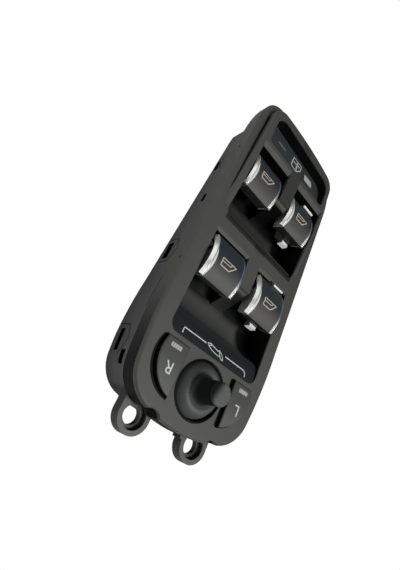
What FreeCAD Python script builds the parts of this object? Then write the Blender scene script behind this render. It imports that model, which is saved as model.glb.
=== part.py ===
import FreeCAD, Part
import math
import os
import Sketcher

# Power window switch module for a driver's door.
# Model frame: X across the face, Y along it towards the child lock button, Z out of the face.
# Pieces are drawn with Y from the face's bottom edge and Z from its rim, in millimetres.

SIZES = [
    # Faceplate and its skirt
    ("face_width", 78.0), ("face_length", 194.2), ("plate_thick", 2.5), ("edge_round", 1.2),
    ("skirt_depth", 11.3), ("skirt_wall", 2.2), ("skirt_lift", 5.0),
    ("foot_taper", 3.0), ("foot_rise", 3.38), ("head_taper", 2.4), ("head_drop", 0.5),
    ("head_slant", 2.8),
    # Raised head of the face
    ("head_start", 108.0), ("head_lift", 4.3), ("head_margin_low", 4.1), ("head_margin_high", 6.4),
    ("head_turn", 14.5), ("head_end", 5.6), ("head_shoulder", 2.2),
    ("groove_width", 0.8), ("groove_depth", 1.8),
    # The two finger bays
    ("bay_margin", 8.6), ("bay_front", 36.6), ("bay_rear", 92.8), ("bay_wall", 2.0),
    ("bay_depth", 17.0), ("head_bay_front", 103.5), ("head_bay_rear", 154.3), ("rib_half", 4.5),
    ("rib_rise", 0.6),
    # Window rockers
    ("rocker_pitch", 60.5), ("pivot_y", 86.0), ("pivot_z", -4.0), ("rocker_gap", 1.05),
    ("trim_thick", 2.0), ("trim_depth", 2.2), ("trim_slope", 1.5), ("cap_radius", 21.5), ("cap_rear", 5.9),
    ("cap_lip", 20.1), ("cap_rear_z", 2.8), ("cap_lip_z", 5.4), ("cap_wall", 1.5),
    ("pin_radius", 1.6), ("pin_clearance", 0.06), ("pin_reach", 1.5), ("leg_length", 13.4),
    ("leg_thick", 3.0), ("leg_width", 4.0),
    # Contact sliders moved by the rockers
    ("slider_length", 9.0), ("slider_width", 7.0), ("slider_height", 3.0), ("slot_gap", 0.45),
    ("board_gap", 0.3),
    # Mirror buttons
    ("mirror_wall", 2.0), ("mirror_margin", 9.5), ("mirror_rear", 34.3), ("mirror_tip", 9.8),
    ("mirror_proud", 2.2), ("button_gap", 0.6), ("button_skirt", 6.0), ("button_leg_x", 6.4),
    ("button_leg_y", 7.6),
    # Joystick
    ("stick_y", 20.9), ("stick_hole", 13.8), ("stick_pivot_z", -8.0), ("stick_ball", 14.4),
    ("stick_wall", 1.6), ("stick_top", 14.7), ("stick_radius", 5.3), ("ring_outer", 7.5),
    ("ring_inner", 5.0), ("ring_height", 3.0), ("gimbal_pin", 1.2), ("gimbal_clearance", 0.05),
    ("post_thick", 2.4),
    # Child lock button, sunk in its recess
    ("lock_margin", 10.7), ("lock_front", 160.0), ("lock_rear", 182.3), ("lock_slant", 3.2),
    ("lock_top", 2.0), ("lock_fall", 4.2), ("lock_skirt", 6.5), ("lock_lens_length", 7.4),
    # Rear case
    ("case_gap", 0.3), ("case_wall", 2.0), ("case_depth", 35.3), ("case_deep_end", 30.0),
    ("case_rear", 170.5), ("case_rear_z", -23.7),
    # Screw ears
    ("ear_margin", 20.3), ("ear_y", -1.4), ("ear_radius", 8.3), ("ear_top", -11.8),
    ("ear_thick", 6.0), ("ear_hole", 4.2), ("ear_sink", 5.9), ("ear_sink_depth", 3.0),
    ("ear_notch", 5.6),
    # Circuit board and what stands on it
    ("board_top", -19.0), ("board_thick", 1.6), ("board_room", 0.4),
    ("board_rear", 167.5), ("mat_thick", 1.2), ("dome_height", 1.0), ("press_gap", 1.4),
    ("mat_inner", 2.1), ("mat_outer", 10.4), ("mat_front", 12.6), ("mat_rear", 1.2),
    ("mat_edge", 3.5), ("led_beside", 13.1), ("led_along", 5.2),
    # Screws and their posts
    ("screw_radius", 1.5), ("screw_head", 2.9), ("screw_head_height", 2.0), ("post_radius", 4.0),
    ("screw_length", 12.0), ("screw_sink", 8.0),
    ("boss_radius", 2.6), ("boss_margin", 8.5), ("rear_boss_margin", 15.0), ("joint_z", -17.4),
    # Connector
    ("plug_y", 122.0), ("plug_half_x", 16.0), ("plug_half_y", 6.5), ("plug_wall", 1.4),
    ("plug_floor", 4.7), ("plug_pin", 0.8), ("plug_fit", 0.4),
]


class Size:
    """A length that carries its number and the sheet expression that it comes from."""

    def __init__(self, number, text):
        self.number = float(number)
        self.text = text

    def __add__(self, other):
        return join(self, other, "+", self.number + number(other))

    def __radd__(self, other):
        return join(other, self, "+", number(other) + self.number)

    def __sub__(self, other):
        return join(self, other, "-", self.number - number(other))

    def __rsub__(self, other):
        return join(other, self, "-", number(other) - self.number)

    def __mul__(self, other):
        return join(self, other, "*", self.number * number(other))

    __rmul__ = __mul__

    def __truediv__(self, other):
        return join(self, other, "/", self.number / number(other))

    def __neg__(self):
        return join(0.0, self, "-", -self.number)


def number(value):
    return value.number if isinstance(value, Size) else float(value)


def text(value):
    return value.text if isinstance(value, Size) else "(%r)" % float(value)


def join(left, right, sign, result):
    return Size(result, "(%s %s %s)" % (text(left), sign, text(right)))


doc = FreeCAD.newDocument("power_window_switch")
sheet = doc.addObject("Spreadsheet::Sheet", "Sizes")
size = {}
for row, (name, value) in enumerate(SIZES, start=1):
    sheet.set("A%d" % row, name)
    sheet.set("B%d" % row, repr(value))
    sheet.setAlias("B%d" % row, name)
    size[name] = Size(value, "Sizes." + name)
doc.recompute()

# Sizes that follow from others
size["bay_half"] = size["face_width"] / 2 - size["bay_margin"]
size["head_half_low"] = size["face_width"] / 2 - size["head_margin_low"]
size["head_half_high"] = size["face_width"] / 2 - size["head_margin_high"]
size["rocker_x"] = (size["bay_half"] + size["rib_half"]) / 2
size["rocker_half"] = (size["bay_half"] - size["rib_half"]) / 2 - size["rocker_gap"]
size["mirror_inner"] = size["stick_hole"] + size["mirror_wall"]
size["mirror_outer"] = size["face_width"] / 2 - size["mirror_margin"]
size["lock_half"] = size["face_width"] / 2 - size["lock_margin"]
size["ear_x"] = size["face_width"] / 2 - size["ear_margin"]
size["foot_corner_x"] = size["face_width"] * 0.295
size["head_corner_x"] = size["face_width"] * 0.314
size["plug_room"] = size["case_depth"] + size["board_top"] - size["board_thick"] - size["plug_floor"]

# The finished frame stands the case on Z = 0 with X = Y = 0 at the middle of its outline
FRAME_Y = (size["ear_radius"] - size["ear_y"] + size["head_drop"] - size["face_length"]) / 2
FRAME_Z = size["case_depth"]

parts = []


def place(thing, x=0.0, y=0.0, z=0.0):
    """Put a piece into the finished frame, moved by its own offset."""
    thing.setExpression("Placement.Base.x", text(x + Size(0, "(0)")))
    thing.setExpression("Placement.Base.y", text(FRAME_Y + y))
    thing.setExpression("Placement.Base.z", text(FRAME_Z + z))


def keep(thing, label, x=0.0, y=0.0, z=0.0):
    """Name a finished sub-part, place it and list it for writing."""
    thing.Label = label
    place(thing, x, y, z)
    parts.append(thing)
    return thing


def body(name):
    return doc.addObject("PartDesign::Body", name)


def sketch(owner, role="XY_Plane", offset=0.0):
    """Sketch on one of the body's own planes, lifted along the plane's normal."""
    made = owner.newObject("Sketcher::SketchObject", owner.Name + "_sketch")
    plane = [o for o in owner.Origin.OriginFeatures if o.Role == role][0]
    made.AttachmentSupport = [(plane, "")]
    made.MapMode = "FlatFace"
    if isinstance(offset, Size) or offset:
        made.setExpression("AttachmentOffset.Base.z", text(offset))
    return made


def fix(made, geometry, point, x, y):
    """Fix one point of a sketch at its two distances from the sketch's origin."""
    for kind, value, axis in (("DistanceX", x, -2), ("DistanceY", y, -1)):
        if abs(number(value)) < 1e-9:
            made.addConstraint(Sketcher.Constraint("PointOnObject", geometry, point, axis))
            continue
        at = made.addConstraint(Sketcher.Constraint(kind, -1, 1, geometry, point, number(value)))
        if isinstance(value, Size):
            made.setExpression("Constraints[%d]" % at, value.text)


def closed(made, corners, arcs=None):
    """Draw a closed profile. arcs gives an edge's radius, positive where it bulges right."""
    arcs = arcs or {}
    first = made.GeometryCount
    points = [FreeCAD.Vector(number(x), number(y), 0) for x, y in corners]
    count = len(points)
    for i, start in enumerate(points):
        end = points[(i + 1) % count]
        if i in arcs:
            made.addGeometry(arc_edge(start, end, number(arcs[i])), False)
        else:
            made.addGeometry(Part.LineSegment(start, end), False)
    ends = []
    for i, start in enumerate(points):
        curve = made.Geometry[first + i]
        forward = curve.StartPoint.distanceToPoint(start) < 1e-6
        ends.append((1, 2) if forward else (2, 1))
    for i in range(count):
        following = (i + 1) % count
        made.addConstraint(Sketcher.Constraint("Coincident", first + i, ends[i][1],
                                               first + following, ends[following][0]))
    for i, (x, y) in enumerate(corners):
        fix(made, first + i, ends[i][0], x, y)
        if i in arcs:
            at = made.addConstraint(Sketcher.Constraint("Radius", first + i, abs(number(arcs[i]))))
            if isinstance(arcs[i], Size):
                made.setExpression("Constraints[%d]" % at, "abs(%s)" % arcs[i].text)
    return made


def arc_edge(start, end, radius):
    """Arc from start to end, bulging to the right of the way there if radius is positive."""
    half = start.distanceToPoint(end) / 2
    along = (end - start).normalize()
    right = FreeCAD.Vector(along.y, -along.x, 0)
    side = 1 if radius > 0 else -1
    reach = math.sqrt(radius * radius - half * half)
    top = (start + end) / 2 + right * side * (abs(radius) - reach)
    return Part.Arc(start, top, end) if radius > 0 else Part.Arc(end, top, start)


def disc(made, x, y, radius):
    """Draw a full circle."""
    centre = FreeCAD.Vector(number(x), number(y), 0)
    at = made.addGeometry(Part.Circle(centre, FreeCAD.Vector(0, 0, 1), number(radius)), False)
    fix(made, at, 3, x, y)
    place_at = made.addConstraint(Sketcher.Constraint("Radius", at, number(radius)))
    if isinstance(radius, Size):
        made.setExpression("Constraints[%d]" % place_at, radius.text)
    return made


def box(made, x0, y0, x1, y1):
    return closed(made, [(x0, y0), (x1, y0), (x1, y1), (x0, y1)])


def rounded(made, x0, y0, x1, y1, low, high):
    """Rectangle with its two lower corners of one radius and its two upper ones of another."""
    corners = [(x0 + low, y0), (x1 - low, y0), (x1, y0 + low), (x1, y1 - high),
               (x1 - high, y1), (x0 + high, y1), (x0, y1 - high), (x0, y0 + low)]
    return closed(made, corners, {1: low, 3: high, 5: high, 7: low})


def solid_volume(owner):
    doc.recompute()
    return owner.Shape.Volume


def extrude(kind, owner, made, length, both, back):
    feature = owner.newObject("PartDesign::" + kind, owner.Name + "_" + kind.lower())
    feature.Profile = made
    feature.setExpression("Length", text(length + Size(0, "(0)")))
    feature.SideType = "Symmetric" if both else "One side"
    feature.Reversed = back
    made.Visibility = False
    return feature


def pad(owner, made, length, both=False, back=False):
    before = owner.Shape.Volume if owner.Shape.Solids else 0.0
    feature = extrude("Pad", owner, made, length, both, back)
    if solid_volume(owner) <= before:
        raise RuntimeError("a pad added nothing to " + owner.Name)
    return feature


def pocket(owner, made, length, both=False, back=False):
    before = owner.Shape.Volume
    feature = extrude("Pocket", owner, made, length, both, back)
    if solid_volume(owner) >= before - 1e-6:
        raise RuntimeError("a pocket cut nothing from " + owner.Name)
    return feature


def ease(kind, length, owner, base, amount, chosen):
    """Ease the edges of base that the rule accepts."""
    names = []
    for i, edge in enumerate(base.Shape.Edges, start=1):
        if chosen(edge):
            names.append("Edge%d" % i)
    if not names:
        raise RuntimeError("no edge to ease on " + owner.Name)
    feature = owner.newObject("PartDesign::" + kind, owner.Name + "_" + kind.lower())
    feature.Base = (base, names)
    feature.setExpression(length, text(amount + Size(0, "(0)")))
    doc.recompute()
    return feature


def fillet(owner, base, radius, chosen):
    return ease("Fillet", "Radius", owner, base, radius, chosen)


def slope(owner, base, leg, chosen):
    return ease("Chamfer", "Size", owner, base, leg, chosen)


# Radii of the face's outline, from its foot round to its head
FOOT_SIDE, FOOT_CORNER, FOOT_END = 216.0, 18.5, 80.0
HEAD_SIDE, HEAD_END = 68.7, 320.0
HEAD_RIGHT_CORNER, HEAD_LEFT_CORNER = 14.6, 12.9
FOOT_SIDE_START, FOOT_SIDE_END = 60.0, 17.5
HEAD_SIDE_START, HEAD_SIDE_END = 28.0, 10.0
SIDE_SLANT = 1.4


def face_outline(made, inset):
    """The face's outline, moved in from its edge by the inset. Its head slants to the right."""
    half = size["face_width"] / 2
    length = size["face_length"]
    across = (half - inset) / half
    along = (length - inset * 2) / length

    def flank(side, slant):
        edge = [
            (size["foot_corner_x"], size["foot_rise"]),
            (half - size["foot_taper"], FOOT_SIDE_END),
            (half, FOOT_SIDE_START),
            (half, length - HEAD_SIDE_START - slant * SIDE_SLANT),
            (half - size["head_taper"], length - HEAD_SIDE_END - slant * SIDE_SLANT),
            (size["head_corner_x"], length - size["head_drop"] - slant),
        ]
        return [(x * across * side, y * along + inset) for x, y in edge]

    corners = flank(1, size["head_slant"]) + list(reversed(flank(-1, 0.0)))
    bulge = [FOOT_CORNER, FOOT_SIDE, None, HEAD_SIDE, HEAD_RIGHT_CORNER, HEAD_END,
             HEAD_LEFT_CORNER, HEAD_SIDE, None, FOOT_SIDE, FOOT_CORNER, FOOT_END]
    arcs = {i: radius for i, radius in enumerate(bulge) if radius}
    return closed(made, corners, arcs)


# Side view of the raised head: one long gentle rise
HEAD_RISE_RADIUS = 420.0
HEAD_OVERRUN = 1.0


def head_points():
    return [(size["head_start"], 0.0), (size["face_length"] + HEAD_OVERRUN, size["head_lift"])]


def head_height(y):
    """Height of the raised head's surface over the rim at a distance along the face."""
    (y0, _), (y1, z1) = head_points()
    start = FreeCAD.Vector(number(y0), 0, 0)
    end = FreeCAD.Vector(number(y1), number(z1), 0)
    rise = arc_edge(start, end, -HEAD_RISE_RADIUS).toShape()
    ray = Part.makeLine(FreeCAD.Vector(number(y), -50, 0), FreeCAD.Vector(number(y), 50, 0))
    return rise.distToShape(ray)[1][0][0].y


# Side view of a bay's floor: a flat apron, a roll-over and a concave run under the rocker
ROLL_RADIUS, ROLL_RUN, ROLL_DROP = 7.0, 5.5, 4.0
SCOOP_RADIUS, SCOOP_RUN, SCOOP_DROP = 20.0, 17.5, 11.0
APRON_DROP = 1.2
FLOOR_WALL = 1.8
APRON_TO_PIVOT = 42.0


def scoop(made, front, shift):
    """Closed side profile of a bay's floor, from the bay's front edge to under the rocker."""
    roll = size["pivot_y"] + shift - APRON_TO_PIVOT
    fall = roll + ROLL_RUN
    end = fall + SCOOP_RUN
    turn = math.radians(64)
    lean = math.radians(8)
    top = [(front, 0.0), (roll, -APRON_DROP), (fall, -APRON_DROP - ROLL_DROP),
           (end, -APRON_DROP - ROLL_DROP - SCOOP_DROP)]
    under = [(end, top[3][1] - FLOOR_WALL),
             (fall - FLOOR_WALL * math.sin(turn), top[2][1] - FLOOR_WALL * math.cos(turn)),
             (roll - FLOOR_WALL * math.sin(lean), top[1][1] - FLOOR_WALL * math.cos(lean)),
             (front, -APRON_DROP - FLOOR_WALL)]
    arcs = {1: -ROLL_RADIUS, 2: SCOOP_RADIUS, 4: -(SCOOP_RADIUS + FLOOR_WALL),
            5: ROLL_RADIUS - FLOOR_WALL}
    return closed(made, top + under, arcs)


# Side view of the rib between two rockers: its nose, then a long slope down to the bay's floor
NOSE_TO_PIVOT, FOOT_TO_PIVOT = 12.4, 21.0
NOSE_RUN, NOSE_DROP, NOSE_RADIUS = 3.0, 2.4, 3.2


def rib(made, rear, rear_z, nose_z, shift):
    nose = size["pivot_y"] + shift - NOSE_TO_PIVOT
    foot = size["pivot_y"] + shift - FOOT_TO_PIVOT
    depth = -size["bay_depth"]
    corners = [(rear, rear_z), (nose + NOSE_RUN, nose_z), (nose, nose_z - NOSE_DROP),
               (foot, depth), (rear, depth)]
    return closed(made, corners, {1: -NOSE_RADIUS})


def rear_slope(owner, rear, run, drop, top):
    """Slope the rear edge of a bay on both sides of its rib."""
    corners = [(rear - 0.4, top - drop), (rear, top - drop), (rear + run, top), (rear + run, HIGH),
               (rear - 0.4, HIGH)]
    for x in (-size["rib_half"], size["bay_half"]):
        wedge = closed(sketch(owner, "YZ_Plane", x), corners)
        pocket(owner, wedge, size["bay_half"] - size["rib_half"])


MIRROR_BULGE = 17.5


def mirror_outline(made, side, inset):
    """Outline of one mirror button: straight inside and rear edges and a curved outside."""
    inner = (size["mirror_inner"] + inset) * side
    outer = (size["mirror_outer"] - inset) * side
    rear = size["mirror_rear"] - inset
    tip = size["mirror_tip"] + inset
    corners = [(inner, tip), (outer, rear), (inner, rear)]
    if side > 0:
        return closed(made, corners, {0: MIRROR_BULGE})
    return closed(made, [(inner, tip), (inner, rear), (outer, rear)], {2: MIRROR_BULGE})


def lock_outline(made, inset):
    """Outline of the child lock's recess; its rear edge slants with the head."""
    wide = size["lock_half"] - inset
    front, rear = size["lock_front"] + inset, size["lock_rear"] - inset
    low, high = LOCK_FRONT_CORNER - inset * 0.5, LOCK_REAR_CORNER - inset
    slant = size["lock_slant"]
    corners = [(low - wide, front), (wide - low, front), (wide, front + low), (wide, rear - high - slant),
               (wide - high, rear - slant), (high - wide, rear), (-wide, rear - high), (-wide, front + low)]
    return closed(made, corners, {1: low, 3: high, 5: high, 7: low})


LOCK_FRONT_CORNER, LOCK_REAR_CORNER = 3.0, 7.5
FRONT_SCREW_Y, REAR_SCREW_Y = 39.0, 99.0
SCREWS = [(side * (size["face_width"] / 2 - margin), y) for margin, y in (
    (size["boss_margin"], FRONT_SCREW_Y), (size["rear_boss_margin"], REAR_SCREW_Y)) for side in (-1, 1)]
BLOCK_RIGHT_CORNER, BLOCK_LEFT_CORNER, BLOCK_END = 9.8, 9.2, 200.0
HIGH = 20.0


def make_bezel():
    """Faceplate moulding: skirt, raised head, finger bays with their ribs, and openings."""
    made = body("bezel")
    plate = pad(made, face_outline(sketch(made), 0.0), size["skirt_depth"], back=True)
    fillet(made, plate, size["edge_round"],
           lambda edge: abs(edge.BoundBox.ZMin) < 1e-6 and abs(edge.BoundBox.ZMax) < 1e-6)
    hollow = face_outline(sketch(made, offset=-size["plate_thick"]), size["skirt_wall"])
    pocket(made, hollow, size["skirt_depth"])

    # The skirt gets shallower towards the head
    length = size["face_length"]
    wedge = closed(sketch(made, "YZ_Plane"), [
        (size["head_start"] + 17.0, -size["skirt_depth"]),
        (length + 5.0, size["skirt_lift"] - size["skirt_depth"]),
        (length + 5.0, -size["skirt_depth"] - 1.0),
        (size["head_start"] + 17.0, -size["skirt_depth"] - 1.0)])
    pocket(made, wedge, size["face_width"] + 2.0, both=True)

    # Raised head, padded as a block and cut to its side view
    low, high = size["head_half_low"], size["head_half_high"]
    start, slant = size["head_start"], size["head_slant"]
    corner = size["head_corner_x"] - 0.5
    end = length - size["head_end"]
    turn = length - size["head_turn"]
    pad(made, closed(sketch(made, offset=-1.0), [
        (low, start - 1.0), (high, turn - slant), (corner, end - slant), (-corner, end), (-high, turn),
        (-low, start - 1.0)], {1: BLOCK_RIGHT_CORNER, 2: BLOCK_END, 3: BLOCK_LEFT_CORNER}), size["head_lift"] + 3.0)
    (y0, z0), (y1, z1) = head_points()
    block = pocket(made, closed(sketch(made, "YZ_Plane"), [
        (y0 - 5.0, z0), (y0, z0), (y1, z1), (y1, HIGH), (y0 - 5.0, HIGH)],
        {1: -HEAD_RISE_RADIUS}), size["face_width"] + 2.0, both=True)
    fillet(made, block, size["head_shoulder"], lambda edge: edge.BoundBox.ZMin > 3.5
           and edge.BoundBox.YMin > number(turn) - 4.0)
    gap = size["groove_width"]
    for side, lean in ((-1, 0.0), (1, slant)):
        strip = [(low * side, start - 1.0), ((high + gap) * side, turn - lean), (high * side, turn - lean)]
        strip = strip if side > 0 else list(reversed(strip))
        pocket(made, closed(sketch(made), strip), size["groove_depth"])

    # Bays: walled blocks under the face, opened through, with floors and ribs put back
    half, wall = size["bay_half"], size["bay_wall"]
    blocks = sketch(made)
    box(blocks, -half - wall, size["pivot_y"] - APRON_TO_PIVOT, half + wall, size["bay_rear"] + wall)
    box(blocks, -half - wall, size["head_bay_front"] - wall, half + wall, size["head_bay_rear"] + wall)
    pad(made, blocks, size["bay_depth"], back=True)
    bays = sketch(made, offset=HIGH)
    rounded(bays, -half, size["bay_front"], half, size["bay_rear"], 5.0, 1.5)
    rounded(bays, -half, size["head_bay_front"], half, size["head_bay_rear"], 5.0, 1.5)
    pocket(made, bays, size["bay_depth"] + HIGH + 1.0)
    floors = sketch(made, "YZ_Plane")
    scoop(floors, size["bay_front"] - 1.2, 0.0)
    scoop(floors, size["head_bay_front"] - wall, size["rocker_pitch"])
    pad(made, floors, (half + 1.0) * 2, both=True)
    ribs = sketch(made, "YZ_Plane")
    rib(ribs, size["bay_rear"] + 1.0, 0.0, size["rib_rise"], 0.0)
    rear = size["head_bay_rear"] + 1.0
    rib(ribs, rear, head_height(rear), head_height(size["pivot_y"] + size["rocker_pitch"] - 10.0) + 0.4,
        size["rocker_pitch"])
    pad(made, ribs, size["rib_half"] * 2, both=True)
    rear_slope(made, size["bay_rear"], 1.7, 1.2, 0.0)
    rear_slope(made, size["head_bay_rear"], 3.3, 1.4, head_height(size["head_bay_rear"] + 3.3))

    # Bores for the rockers' pins, through the bay walls and the ribs
    bores = sketch(made, "YZ_Plane")
    for shift in (0.0, size["rocker_pitch"]):
        disc(bores, size["pivot_y"] + shift, size["pivot_z"], size["pin_radius"] + size["pin_clearance"])
    pocket(made, bores, (half + wall) * 2 + 0.2, both=True)

    # Room behind the front right rocker for its light guide
    notch = sketch(made, offset=HIGH)
    box(notch, size["rocker_x"] - 1.3, size["bay_rear"] - 0.4, half - 1.0, size["bay_rear"] + 1.1)
    pocket(made, notch, size["bay_depth"] + HIGH + 1.0)

    # Openings for the buttons and the joystick
    holes = sketch(made, offset=HIGH)
    lock_outline(holes, 0.0)
    mirror_outline(holes, -1, 0.0)
    mirror_outline(holes, 1, 0.0)
    disc(holes, 0.0, size["stick_y"], size["stick_hole"])
    pocket(made, holes, HIGH + size["skirt_depth"])

    # Clearance over the ears and bosses for the case screws
    notches = sketch(made, offset=1.0)
    for side in (-1, 1):
        disc(notches, size["ear_x"] * side, size["ear_y"], size["ear_notch"])
    pocket(made, notches, size["skirt_depth"] + 2.0)
    bosses = sketch(made, offset=-size["plate_thick"] + 0.5)
    for x, y in SCREWS:
        disc(bosses, x, y, size["boss_radius"])
    pad(made, bosses, -size["joint_z"] - size["plate_thick"] + 0.5, back=True)
    pilots = sketch(made, offset=size["joint_z"])
    for x, y in SCREWS:
        disc(pilots, x, y, size["screw_radius"])
    pocket(made, pilots, 6.0, back=True)
    return keep(made, "bezel")


def case_back(y):
    """Height of the case's outer back at a distance along it."""
    deep_end = size["case_deep_end"]
    slope = (size["case_rear_z"] + size["case_depth"]) / (size["case_rear"] - deep_end)
    rise = (y - deep_end) * slope
    if number(rise) <= 0:
        return -size["case_depth"]
    return rise - size["case_depth"]


def case_block(name, inset, top):
    """The case's solid form: its plan outline kept inside its side view, both inset."""
    plan = body(name + "_plan")
    edge = size["skirt_wall"] + size["case_gap"] + inset
    pad(plan, face_outline(sketch(plan, offset=top), edge), size["case_depth"] + top, back=True)
    view = body(name + "_view")
    deep = size["case_deep_end"]
    rear = size["case_rear"] - inset
    floor = inset - size["case_depth"]
    pad(view, closed(sketch(view, "YZ_Plane"), [
        (-20.0, floor), (deep, floor), (rear, case_back(rear) + inset), (rear + 1.5, top + HIGH),
        (-20.0, top + HIGH)]), size["face_width"] + 10.0, both=True)
    common = doc.addObject("Part::Common", name)
    common.Base = plan
    common.Tool = view
    doc.recompute()
    return common


LATCHES = [
    # Middle along the case, length, drop of the slot's middle from the case's back, height
    (27.0, 11.0, 6.0, 2.8), (19.2, 6.6, 14.6, 2.6), (79.0, 10.0, 5.6, 2.0),
    (115.6, 5.0, 9.6, 2.2), (143.6, 7.5, 3.4, 2.0),
]


def make_case():
    """Rear case: a tapered open box with screw ears, posts, latch slots and a plug hole."""
    outer = case_block("case_outer", 0.0, -size["plate_thick"] - 0.5)
    inner = case_block("case_inner", size["case_wall"], -size["plate_thick"])
    shell = doc.addObject("Part::Cut", "case_shell")
    shell.Base = outer
    shell.Tool = inner

    added = body("case_ears_and_posts")
    ears = sketch(added, offset=size["ear_top"])
    necks = sketch(added, offset=size["ear_top"])
    for side in (-1, 1):
        x, reach = size["ear_x"] * side, size["ear_radius"]
        disc(ears, x, size["ear_y"], reach)
        box(necks, x - reach, size["ear_y"], x + reach, 7.5)
    nib = size["ear_x"] - size["ear_radius"]
    box(necks, nib - 1.6, size["ear_y"] + 0.6, nib + 1.0, 3.0)
    pad(added, ears, size["ear_thick"], back=True)
    pad(added, necks, size["ear_thick"], back=True)
    for x, y in SCREWS:
        post = sketch(added, offset=size["joint_z"])
        disc(post, x, y, size["post_radius"])
        floor = case_back(Size(y, "(%r)" % y)) - size["joint_z"] + 0.6
        pad(added, post, -floor, back=True)
    whole = doc.addObject("Part::Fuse", "case_whole")
    whole.Base = shell
    whole.Tool = added

    cuts = body("case_cuts")
    holes = sketch(cuts, offset=size["ear_top"] + 1.0)
    for side in (-1, 1):
        disc(holes, size["ear_x"] * side, size["ear_y"], size["ear_hole"])
    pad(cuts, holes, size["ear_thick"] + 2.0, back=True)
    sinks = sketch(cuts, offset=size["ear_top"] + 1.0)
    for side in (-1, 1):
        disc(sinks, size["ear_x"] * side, size["ear_y"], size["ear_sink"])
    pad(cuts, sinks, size["ear_sink_depth"] + 1.0, back=True)
    for x, y in SCREWS:
        shank = sketch(cuts, offset=size["joint_z"] + 0.5)
        disc(shank, x, y, size["screw_radius"] + 0.2)
        pad(cuts, shank, size["case_depth"], back=True)
        head = sketch(cuts, offset=size["joint_z"] - size["screw_sink"])
        disc(head, x, y, size["screw_head"] + 0.3)
        pad(cuts, head, size["case_depth"], back=True)
    plug = sketch(cuts, offset=size["board_top"] - 2.5)
    fit = size["plug_fit"]
    box(plug, -size["plug_half_x"] - fit, size["plug_y"] - size["plug_half_y"] - fit,
        size["plug_half_x"] + fit, size["plug_y"] + size["plug_half_y"] + fit)
    pad(cuts, plug, size["case_depth"], back=True)
    slots = sketch(cuts, "YZ_Plane")
    for middle, length, drop, height in LATCHES:
        z = case_back(Size(middle, "(%r)" % middle)) + drop
        box(slots, middle - length / 2, z - height / 2, middle + length / 2, z + height / 2)
    pad(cuts, slots, size["face_width"], both=True)
    # The end wall is lower under the child lock button
    relief = box(sketch(cuts, offset=HIGH), -size["lock_half"] - 1.0, size["lock_front"] - 1.0,
                 size["lock_half"] + 1.0, size["face_length"])
    pad(cuts, relief, HIGH + size["lock_skirt"] + 3.0, back=True)
    pierced = doc.addObject("Part::Cut", "case_pierced")
    pierced.Base = whole
    pierced.Tool = cuts
    doc.recompute()
    return keep(pierced, "rear_case")


# Side view of a rocker's cap, with the pivot at the origin
def cap_centre():
    """Centre of the arc of the cap's top, from its rear and lip corners and its radius."""
    rear = (number(size["cap_rear"]), number(size["cap_rear_z"]))
    lip = (-number(size["cap_lip"]), number(size["cap_lip_z"]))
    half = math.dist(rear, lip) / 2
    reach = math.sqrt(number(size["cap_radius"]) ** 2 - half * half)
    along = ((lip[0] - rear[0]) / (2 * half), (lip[1] - rear[1]) / (2 * half))
    return ((rear[0] + lip[0]) / 2 + along[1] * reach * -1, (rear[1] + lip[1]) / 2 + along[0] * reach)


def on_arc(y, radius):
    """Height of a circle about the cap's centre at a distance along the rocker."""
    cy, cz = cap_centre()
    return cz + math.sqrt(number(radius) ** 2 - (number(y) - cy) ** 2)


CAP_SIDE_Z = -3.0
CAP_FRONT_Y = -17.4
LEG_ROOT = 5.9


def leg_x():
    """Middle of a rocker's leg, beside its light guide."""
    return 0.4 - size["rocker_half"] / 2


def make_rocker(name, x, shift):
    """Rocker cap: curved top, front finger wall, side walls, pivot pins and contact leg."""
    made = body(name)
    half = size["rocker_half"] - size["trim_thick"]
    lip, rear = -size["cap_lip"], size["cap_rear"]
    profile = closed(sketch(made, "YZ_Plane"), [
        (lip, size["cap_lip_z"]), (lip + 0.3, size["cap_lip_z"] - 1.5), (CAP_FRONT_Y, CAP_SIDE_Z),
        (rear - 1.2, CAP_SIDE_Z), (rear, size["cap_rear_z"])], {4: size["cap_radius"]})
    pad(made, profile, half * 2, both=True)
    pins = disc(sketch(made, "YZ_Plane"), 0.0, 0.0, size["pin_radius"])
    pin_tip = size["bay_half"] - size["rocker_x"] + size["pin_reach"]
    pad(made, pins, pin_tip * 2, both=True)
    wall, under = size["cap_wall"], size["cap_radius"] - size["cap_wall"]
    inner_front, inner_rear = lip + 3.2, rear - 1.8
    room = closed(sketch(made, "YZ_Plane"), [
        (inner_front, on_arc(inner_front, under)), (inner_front + 1.4, CAP_SIDE_Z - 1.0),
        (inner_rear - 1.0, CAP_SIDE_Z - 1.0), (inner_rear, on_arc(inner_rear, under))], {3: under})
    pocket(made, room, (half - wall) * 2, both=True)
    leg = sketch(made, offset=LEG_ROOT)
    side = leg_x()
    box(leg, side - size["leg_width"] / 2, -size["leg_thick"] / 2,
        side + size["leg_width"] / 2, size["leg_thick"] / 2)
    pad(made, leg, size["leg_length"] + LEG_ROOT, back=True)
    return keep(made, name, x, size["pivot_y"] + shift, size["pivot_z"])


TRIM_PROUD = 0.15


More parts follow.
